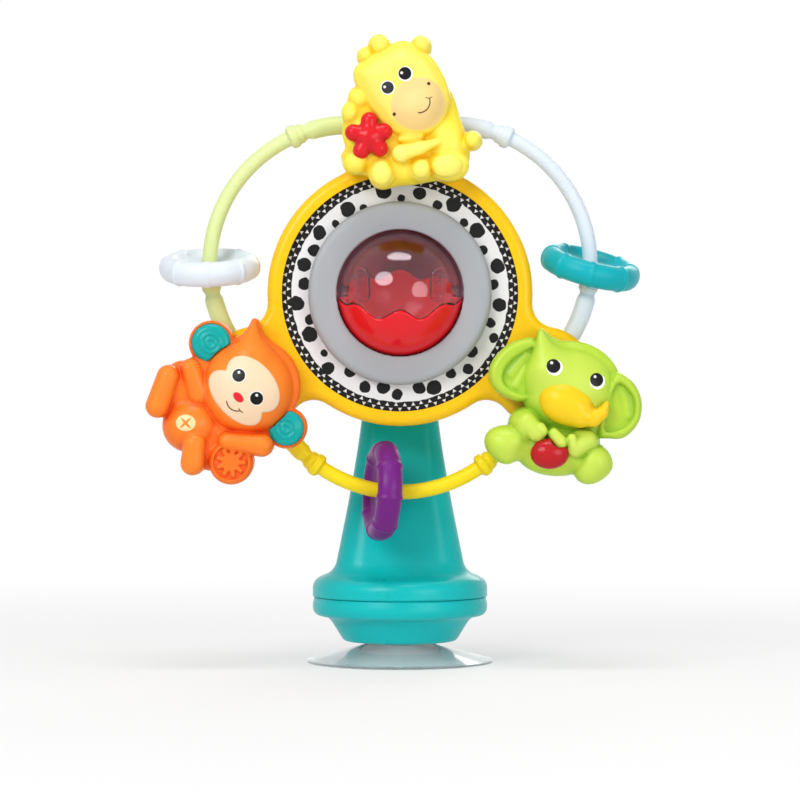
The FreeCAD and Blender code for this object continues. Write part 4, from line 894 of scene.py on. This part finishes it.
# Each ring's tube, its angle along the tube, how it leans about X, Y and Z, and its finish.
RINGS = {
    "white": ("green", -31, (13, 0, 0), "ring_pale",
              moulded("ring_pale_moulding", rgb(222, 230, 238), rough=0.36, grain=0.004)),
    "teal": ("white", 31, (13, 13, 0), "ring_blue_green",
             moulded("ring_teal_moulding", rgb(0, 168, 178), rough=0.36, grain=0.004)),
    "purple": ("yellow", 7.3, (0, -4, 11.5), "ring_violet",
               moulded("ring_violet_moulding", rgb(110, 26, 124), rough=0.34, grain=0.004)),
}
for colour, (tube, along, leans, slot, material) in RINGS.items():
    angle = TUBES[tube] + along
    heading = Vector((math.cos(math.radians(angle)), 0, -math.sin(math.radians(angle))))
    turn = Vector((0, 1, 0)).rotation_difference(heading)
    for axis, lean in zip(((1, 0, 0), (0, 1, 0), (0, 0, 1)), leans):
        turn = Quaternion(axis, math.radians(lean)) @ turn
    ring = ring_mesh(f"teether_{colour}", on_arc(TUBES[tube], angle), turn)
    piece(ring, f"{colour}_ring", slot, material, f"ring_{colour}")


# Tower and foot

# Height above the floor, half width, front and corner radius of the tower's sections.
TOWER_ROWS = [(44, 34.2, 27, 16), (80, 27, 20, 12), (120, 20.4, 13, 9), (188, 18.6, -3, 7)]
TOWER_BACK = 24
TOWER_SPLIT = 8
# The column's middle height from the wheel's centre, the head's middle depth, and half of each.
COLUMN_MIDDLE = -72
COLUMN_HALF = 73
HEAD_MIDDLE = -11.5
HEAD_HALF = 12.5
HEAD_RADIUS = 22
FLOOR = -AXLE
# The foot's heights above the floor: its bottom, the seam in the flange's middle, the bowl's rim
# and the top of its hollow, and half the flange's height.
BOWL_LOW = 11
SEAM = 34
BOWL_TOP = 33.9
HOLLOW_TOP = 17
FLANGE_HALF = 10
# Radii of the flange, the bowl's bottom and its hollow, and how much the bowl widens upwards.
FLANGE_RADIUS = 45
BOWL_RADIUS = 29
HOLLOW_RADIUS = 22.6
BOWL_SPREAD = 0.62


def tower_parts(p):
    """A tapering tower with a round head, which flares into a round flange."""
    x, z, depth = p
    heights, *rows = map(list, zip(*TOWER_ROWS))
    half, front, corner = (np.polyval(np.polyfit(heights, row, 3), z - FLOOR) for row in rows)
    middle = (TOWER_BACK - front) / 2
    across = np.abs(x) - half + corner
    along = np.abs(depth + middle) - (TOWER_BACK + front) / 2 + corner
    column = np.hypot(np.maximum(across, 0), np.maximum(along, 0))
    column = column + np.minimum(np.maximum(across, along), 0) - corner
    column = overlap(column * 0.96, np.abs(z - COLUMN_MIDDLE) - COLUMN_HALF, 0.5)
    head = overlap(np.hypot(x, z) - HEAD_RADIUS, np.abs(depth - HEAD_MIDDLE) - HEAD_HALF, 3)
    flange = overlap(np.hypot(x, depth) - FLANGE_RADIUS, np.abs(z - FLOOR - SEAM) - FLANGE_HALF, 6.5)
    return overlap(join(join(column, head, 3), flange, 9), FLOOR + SEAM - z, 0.3)


def tower_front(p):
    """The tower before the plane where its two shells meet, a hair short of it."""
    return overlap(tower_parts(p), 0.04 - (p[2] + TOWER_SPLIT), 0.25)


def bowl_parts(p):
    """The foot's lower half: a bowl under the flange."""
    x, z, depth = p
    high = z - FLOOR
    far = np.hypot(x, depth)
    bowl = far - BOWL_RADIUS - (high - BOWL_LOW) * BOWL_SPREAD
    bowl = overlap(bowl, np.maximum(BOWL_LOW - high, high - SEAM), 1.5)
    flange = overlap(far - FLANGE_RADIUS, np.maximum(SEAM - FLANGE_HALF - high, high - SEAM), 5)
    hollow = overlap(far - HOLLOW_RADIUS, high - HOLLOW_TOP, 0.5)
    return carve(overlap(join(bowl, flange, 4), high - BOWL_TOP, 0.3), hollow, 0.4)


TEAL = moulded("teal_moulding", rgb(8, 188, 190), rough=0.3, grain=0.008)
FOOT_STEP = 0.9
sculpt("tower_front_shell", tower_front, (-50, -158, -12), (50, 26, 50), "teal_plastic", TEAL,
       "tower_front", step=FOOT_STEP, body="stand")
sculpt("foot_bowl", bowl_parts, (-49, -180, -49), (49, -150, 49), "teal_plastic", TEAL, "base_bowl",
       step=FOOT_STEP, body="stand")


# Collar and ball

BALL_DEPTH = 51.0
BALL_TILT = math.radians(22)
WAVE_LENGTH = 21.0
WAVE_HEIGHT = 2.5
# The radius in the middle of the ball's wall, and half the wall.
BALL_MIDDLE = 31
BALL_HALF_WALL = 1
BOSS_RADIUS = 5
PIN_HOLE = 3
# The collar's radii, from its rim inwards, and the depths of its back and its face.
COLLAR_RADIUS = 45.5
COLLAR_INSIDE = 43.1
SKIRT_RADIUS = 35.9
CAGE_RADIUS = 33.5
COLLAR_BACK = 54.8
COLLAR_FACE = 63.6
# The middle of a clear tab in the ball: across, up and forward, and its turn in radians.
TAB_PLACE = (18.5, 7, 6)
TAB_TURN = 0.9


def collar_parts(p):
    """A collar with a rounded rim, a face that falls towards the ball and a skirt behind its lip."""
    x, z, depth = p
    far = np.hypot(x, z)
    disc = overlap(far - COLLAR_RADIUS, np.abs(depth - 59.2) - 4.35, 4.2)
    disc = overlap(disc, (depth - COLLAR_FACE) + (38.5 - far) * 0.2, 0.8)
    skirt = overlap(far - SKIRT_RADIUS, np.abs(depth - 56) - 5, 0.3)
    inner = overlap(far - COLLAR_INSIDE, depth - 59.6 - (far - 36) * 0.02, 0.5)
    disc = carve(disc, overlap(inner, SKIRT_RADIUS - far, 0.3), 0.3)
    behind = overlap(disc, COLLAR_BACK - depth, 0.2)
    cage = np.maximum(far - CAGE_RADIUS, np.hypot(far, depth - BALL_DEPTH) - 33.2)
    return carve(join(behind, skirt, 0.4), cage, 0.5)


def ball_axes(p):
    """Across, up and forward as the ball leans."""
    x, z, depth = p
    forward = depth - BALL_DEPTH
    return (x, z * math.cos(BALL_TILT) + forward * math.sin(BALL_TILT),
            forward * math.cos(BALL_TILT) - z * math.sin(BALL_TILT))


def ball_half(side):
    """One half of the ball's shell: 1 is above the wavy parting line, -1 below it."""

    def field(p):
        x, up, forward = ball_axes(p)
        far = np.sqrt(x * x + up * up + forward * forward)
        shell = np.abs(far - BALL_MIDDLE) - BALL_HALF_WALL
        beside = np.hypot(up, forward)
        shell = join(shell, overlap(beside - BOSS_RADIUS, np.abs(np.abs(x) - 28) - 2.5, 0.3), 0.6)
        shell = carve(shell, np.maximum(beside - PIN_HOLE, 24 - np.abs(x)), 0.3)
        wave = WAVE_HEIGHT * np.cos(math.tau * x / WAVE_LENGTH)
        wave = np.where(np.abs(x) < 1.25 * WAVE_LENGTH, wave, 0)
        return overlap(shell, side * (wave - up) * 0.85 + 0.06, 0.3)

    return field


def ball_tabs(p):
    """Two rounded clear tabs inside the ball, beside the pins."""
    x, up, forward = ball_axes(p)
    beside = np.abs(x) - TAB_PLACE[0]
    before = forward - TAB_PLACE[2]
    turned = beside * math.cos(TAB_TURN) + before * math.sin(TAB_TURN)
    along = before * math.cos(TAB_TURN) - beside * math.sin(TAB_TURN)
    far = np.hypot(along, np.maximum(np.abs(up - TAB_PLACE[1]) - 4.5, 0))
    plate = overlap(far - 4.6, np.abs(turned) - 0.9, 0.5)
    return carve(plate, np.maximum(far - 2.6, 0.25 - turned), 0.4)


GREY = moulded("grey_moulding", rgb(163, 166, 170), rough=0.42, grain=0.04)
DOME = clear("dome_clear", rgb(236, 204, 218), 0.02, 1.46)
BALL_BOX = (-35, -35, 16), (35, 35, 86)
BALL_STEP = 0.8
sculpt("ball_collar", collar_parts, (-48, -48, 48), (48, 48, 66), "bezel_grey", GREY, "ball_bezel",
       step=BALL_STEP)
sculpt("ball_dome", ball_half(1), *BALL_BOX, "clear_shell", DOME, "ball_clear_shell",
       step=BALL_STEP, body="ball")
BALL_RED = moulded("ball_red", rgb(226, 24, 34), rough=0.16, coat=0.15)
sculpt("ball_cup", ball_half(-1), *BALL_BOX, "red_shell", BALL_RED, "ball_red_shell",
       step=BALL_STEP, body="ball")
sculpt("ball_tabs", ball_tabs, (-30, -8, 40), (30, 28, 76), "clear_shell", DOME,
       step=BALL_STEP, body="ball")


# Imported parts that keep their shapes


def dress(material, *nodes):
    """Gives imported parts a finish, smooth but for their sharp edges."""
    for name in nodes:
        mesh = frame["nodes"][name].data
        mesh.materials.clear()
        mesh.materials.append(material)
        mesh.polygons.foreach_set("use_smooth", np.ones(len(mesh.polygons), bool))
        mesh.set_sharp_from_angle(angle=math.radians(34))


def print_paint(tree, place, base):
    """A common pattern in black on white: two rows of uneven dots and a band of small triangles."""
    wobble = tree.less(tree.noise(260, 2), 0.5)
    far = tree.length(*place)
    around = tree.math("DIVIDE", tree.math("ARCTAN2", place[0], place[1]), math.tau)

    def cells(count, row, middle, shift=0.0):
        """Millimetres along and out from the middle of a cell, and three random numbers for it."""
        along = tree.plus(tree.times(around, count), shift)
        number = tree.math("FLOOR", along)
        share = tree.less(tree.less(along, number), 0.5)
        number = tree.math("MODULO", tree.plus(number, 2 * count), count)
        seed = tree.node("ShaderNodeCombineXYZ", {0: number, 1: row}).outputs[0]
        noise = tree.node("ShaderNodeTexWhiteNoise", {"Vector": seed}, noise_dimensions="3D").outputs["Color"]
        chance = tree.node("ShaderNodeSeparateXYZ", {0: noise}).outputs
        chance = [tree.less(value, 0.5) for value in chance]
        return tree.times(share, math.tau * middle / count), tree.less(far, middle), chance

    ink = tree.ramp(tree.plus(far, tree.times(wobble, 1.6)), 53.9, 54.1)
    for count, row, middle, radius, shift in ((17, 1, 50.4, 3.2, 0.0), (17, 2, 46.8, 2.6, 0.5)):
        along, out, chance = cells(count, row, middle, shift)
        along = tree.plus(along, tree.times(chance[0], 4.0))
        out = tree.plus(out, tree.times(chance[1], 2.6))
        reach = tree.plus(tree.length(along, out), tree.times(wobble, 1.8))
        size = tree.plus(tree.times(chance[2], 1.5), radius)
        dot = tree.ramp(tree.less(reach, size), 0.1, -0.1)
        ink = tree.math("MAXIMUM", ink, dot)
    for row, middle, shift, point in ((3, 55.5, 0.0, -1), (4, 57.5, 0.5, 1)):
        along, out, chance = cells(80, row, middle, shift)
        along = tree.math("ABSOLUTE", tree.plus(along, tree.times(chance[0], 0.7)))
        out = tree.times(tree.plus(out, tree.times(chance[1], 0.4)), point)
        side = tree.plus(tree.times(along, 0.87), tree.times(out, 0.5))
        edge = tree.math("MAXIMUM", side, tree.times(out, -1))
        ink = tree.times(ink, tree.ramp(edge, 0.5, 0.64))
    return tree.mix(ink, base, rgb(8, 8, 9))


def bead_mix():
    """Small beads in several bright colours, told apart by their places."""
    tree = Tree("bead_colours")
    cell = tree.node("ShaderNodeTexVoronoi", {"Vector": tree.position(), "Scale": 230}).outputs["Color"]
    ramp = tree.node("ShaderNodeValToRGB", {0: tree.node("ShaderNodeSeparateColor", {0: cell}).outputs[0]})
    ramp.color_ramp.interpolation = "CONSTANT"
    colours = [rgb(250, 210, 30), rgb(236, 90, 130), rgb(250, 140, 30), rgb(60, 170, 90), rgb(240, 230, 90)]
    for number, colour in enumerate(colours):
        place = number / len(colours)
        stop = ramp.color_ramp.elements[number] if number < 2 else ramp.color_ramp.elements.new(place)
        stop.position = place
        stop.color = colour
    tree.set("Base Color", ramp.outputs[0])
    tree.set("Roughness", tree.ramp(tree.noise(300), 0.3, 0.7, 0.2, 0.3))
    return tree.owner


def bowl_painted_shade(tree, place, base):
    """The bowl behind the ball is painted dark and reddish inside: painted shade, as seen through the clear
    dome.
    """
    far = tree.length(*place, tree.less(tree.depth(), BALL_DEPTH))
    return tree.mix(tree.ramp(far, 34.6, 34.2), base, rgb(176, 110, 112))


# The wheel's moulding carries the bowl's painted shade inside the ball.
YELLOW = moulded("wheel_moulding", rgb(246, 194, 14), rough=0.26, paint=bowl_painted_shade)
INNER = moulded("inner_moulding", rgb(225, 225, 222), rough=0.4)
STEEL = steel("screw_steel_finish")

dress(clear("cup_vinyl", rgb(236, 244, 246), 0.12, 1.45, 0.1), "suction_cup")
dress(INNER, "cup_clamp", "axle_bush", "axle")
dress(TEAL, "tower_back", "axle_cap")
dress(YELLOW, "wheel_back", "wheel_front")
dress(STEEL, "tower_screws", "wheel_screws", "bezel_screws", "axle_screw", "axle_washer", "ball_pins")
dress(bead_mix(), "rattle_beads")
dress(moulded("print_moulding", rgb(226, 226, 228), rough=0.4, paint=print_paint), "pattern_disc")


# Floor, light and camera

# In metres.
FLOOR_RADIUS = 8


def seen_rays(tree):
    """1 for the rays of the camera, gloss and glass, and 0 for the rest."""
    rays = tree.node("ShaderNodeLightPath").outputs
    through = tree.math("MAXIMUM", rays["Is Glossy Ray"], rays["Is Transmission Ray"])
    return tree.math("MAXIMUM", rays["Is Camera Ray"], through)


def stage_floor():
    """A wide pale floor that keeps the object's shadow and fades into the white round it."""
    turns = [math.tau * i / 96 for i in range(96)]
    points = [(FLOOR_RADIUS * math.cos(turn), FLOOR_RADIUS * math.sin(turn), 0) for turn in turns]
    floor = add_mesh("floor", points, [range(96)])
    tree = Tree("floor_paper")
    tree.set("Base Color", (0.88, 0.88, 0.88, 1))
    tree.set("Roughness", 0.75)
    tree.set("Specular IOR Level", 0.2)
    parts = tree.node("ShaderNodeSeparateXYZ", {0: tree.position()}).outputs
    far = tree.length(parts[0], parts[1])
    lift = tree.ramp(far, 0.15, 0.7, 0.45, 1.0)
    glow = tree.node("ShaderNodeEmission", {"Color": (1, 1, 1, 1), "Strength": 1.0})
    inputs = {0: tree.times(lift, seen_rays(tree)), 1: tree.shader.outputs[0], 2: glow.outputs[0]}
    mix = tree.node("ShaderNodeMixShader", inputs)
    tree.give(tree.nodes["Material Output"].inputs["Surface"], mix.outputs[0])
    floor.data.materials.append(tree.owner)


def white_world():
    """A white surround for the camera, gloss and glass, and a plain soft light for the rest."""
    tree = Tree("surround", bpy.data.worlds, "Background")
    bpy.context.scene.world = tree.owner
    tree.set("Color", (1, 1, 1, 1))
    tree.set("Strength", tree.ramp(seen_rays(tree), 0, 1, 0.36, 1.0))


def lamp(name, place, target, size, power):
    """A soft oval lamp that faces a target."""
    light = bpy.data.lights.new(name, "AREA")
    light.shape = "ELLIPSE"
    light.size, light.size_y = size
    light.energy = power
    item = bpy.data.objects.new(name, light)
    bpy.context.scene.collection.objects.link(item)
    item.location = place
    item.rotation_euler = (Vector(target) - Vector(place)).to_track_quat("-Z", "Y").to_euler()


stage_floor()
white_world()
lamp("key", (-0.75, -1.3, 0.85), (0, 0, 0.17), (0.9, 0.7), 12)
lamp("fill", (0.9, -1.3, 0.3), (0, 0, 0.15), (0.8, 0.8), 6)
lamp("top", (-0.02, -0.5, 1.35), (0, 0, 0.15), (0.8, 0.36), 6)
lamp("rear", (0.4, 1.2, 0.8), (0, 0, 0.15), (0.8, 0.8), 4.5)

camera = bpy.data.objects.new("camera", bpy.data.cameras.new("camera"))
bpy.context.scene.collection.objects.link(camera)
camera.location = (0.0, -1.497, 0.135)
camera.rotation_euler = (math.radians(90), 0, 0)
camera.data.sensor_width = 36
camera.data.lens = 130.5
bpy.context.scene.camera = camera
bpy.context.scene.view_settings.view_transform = "Standard"
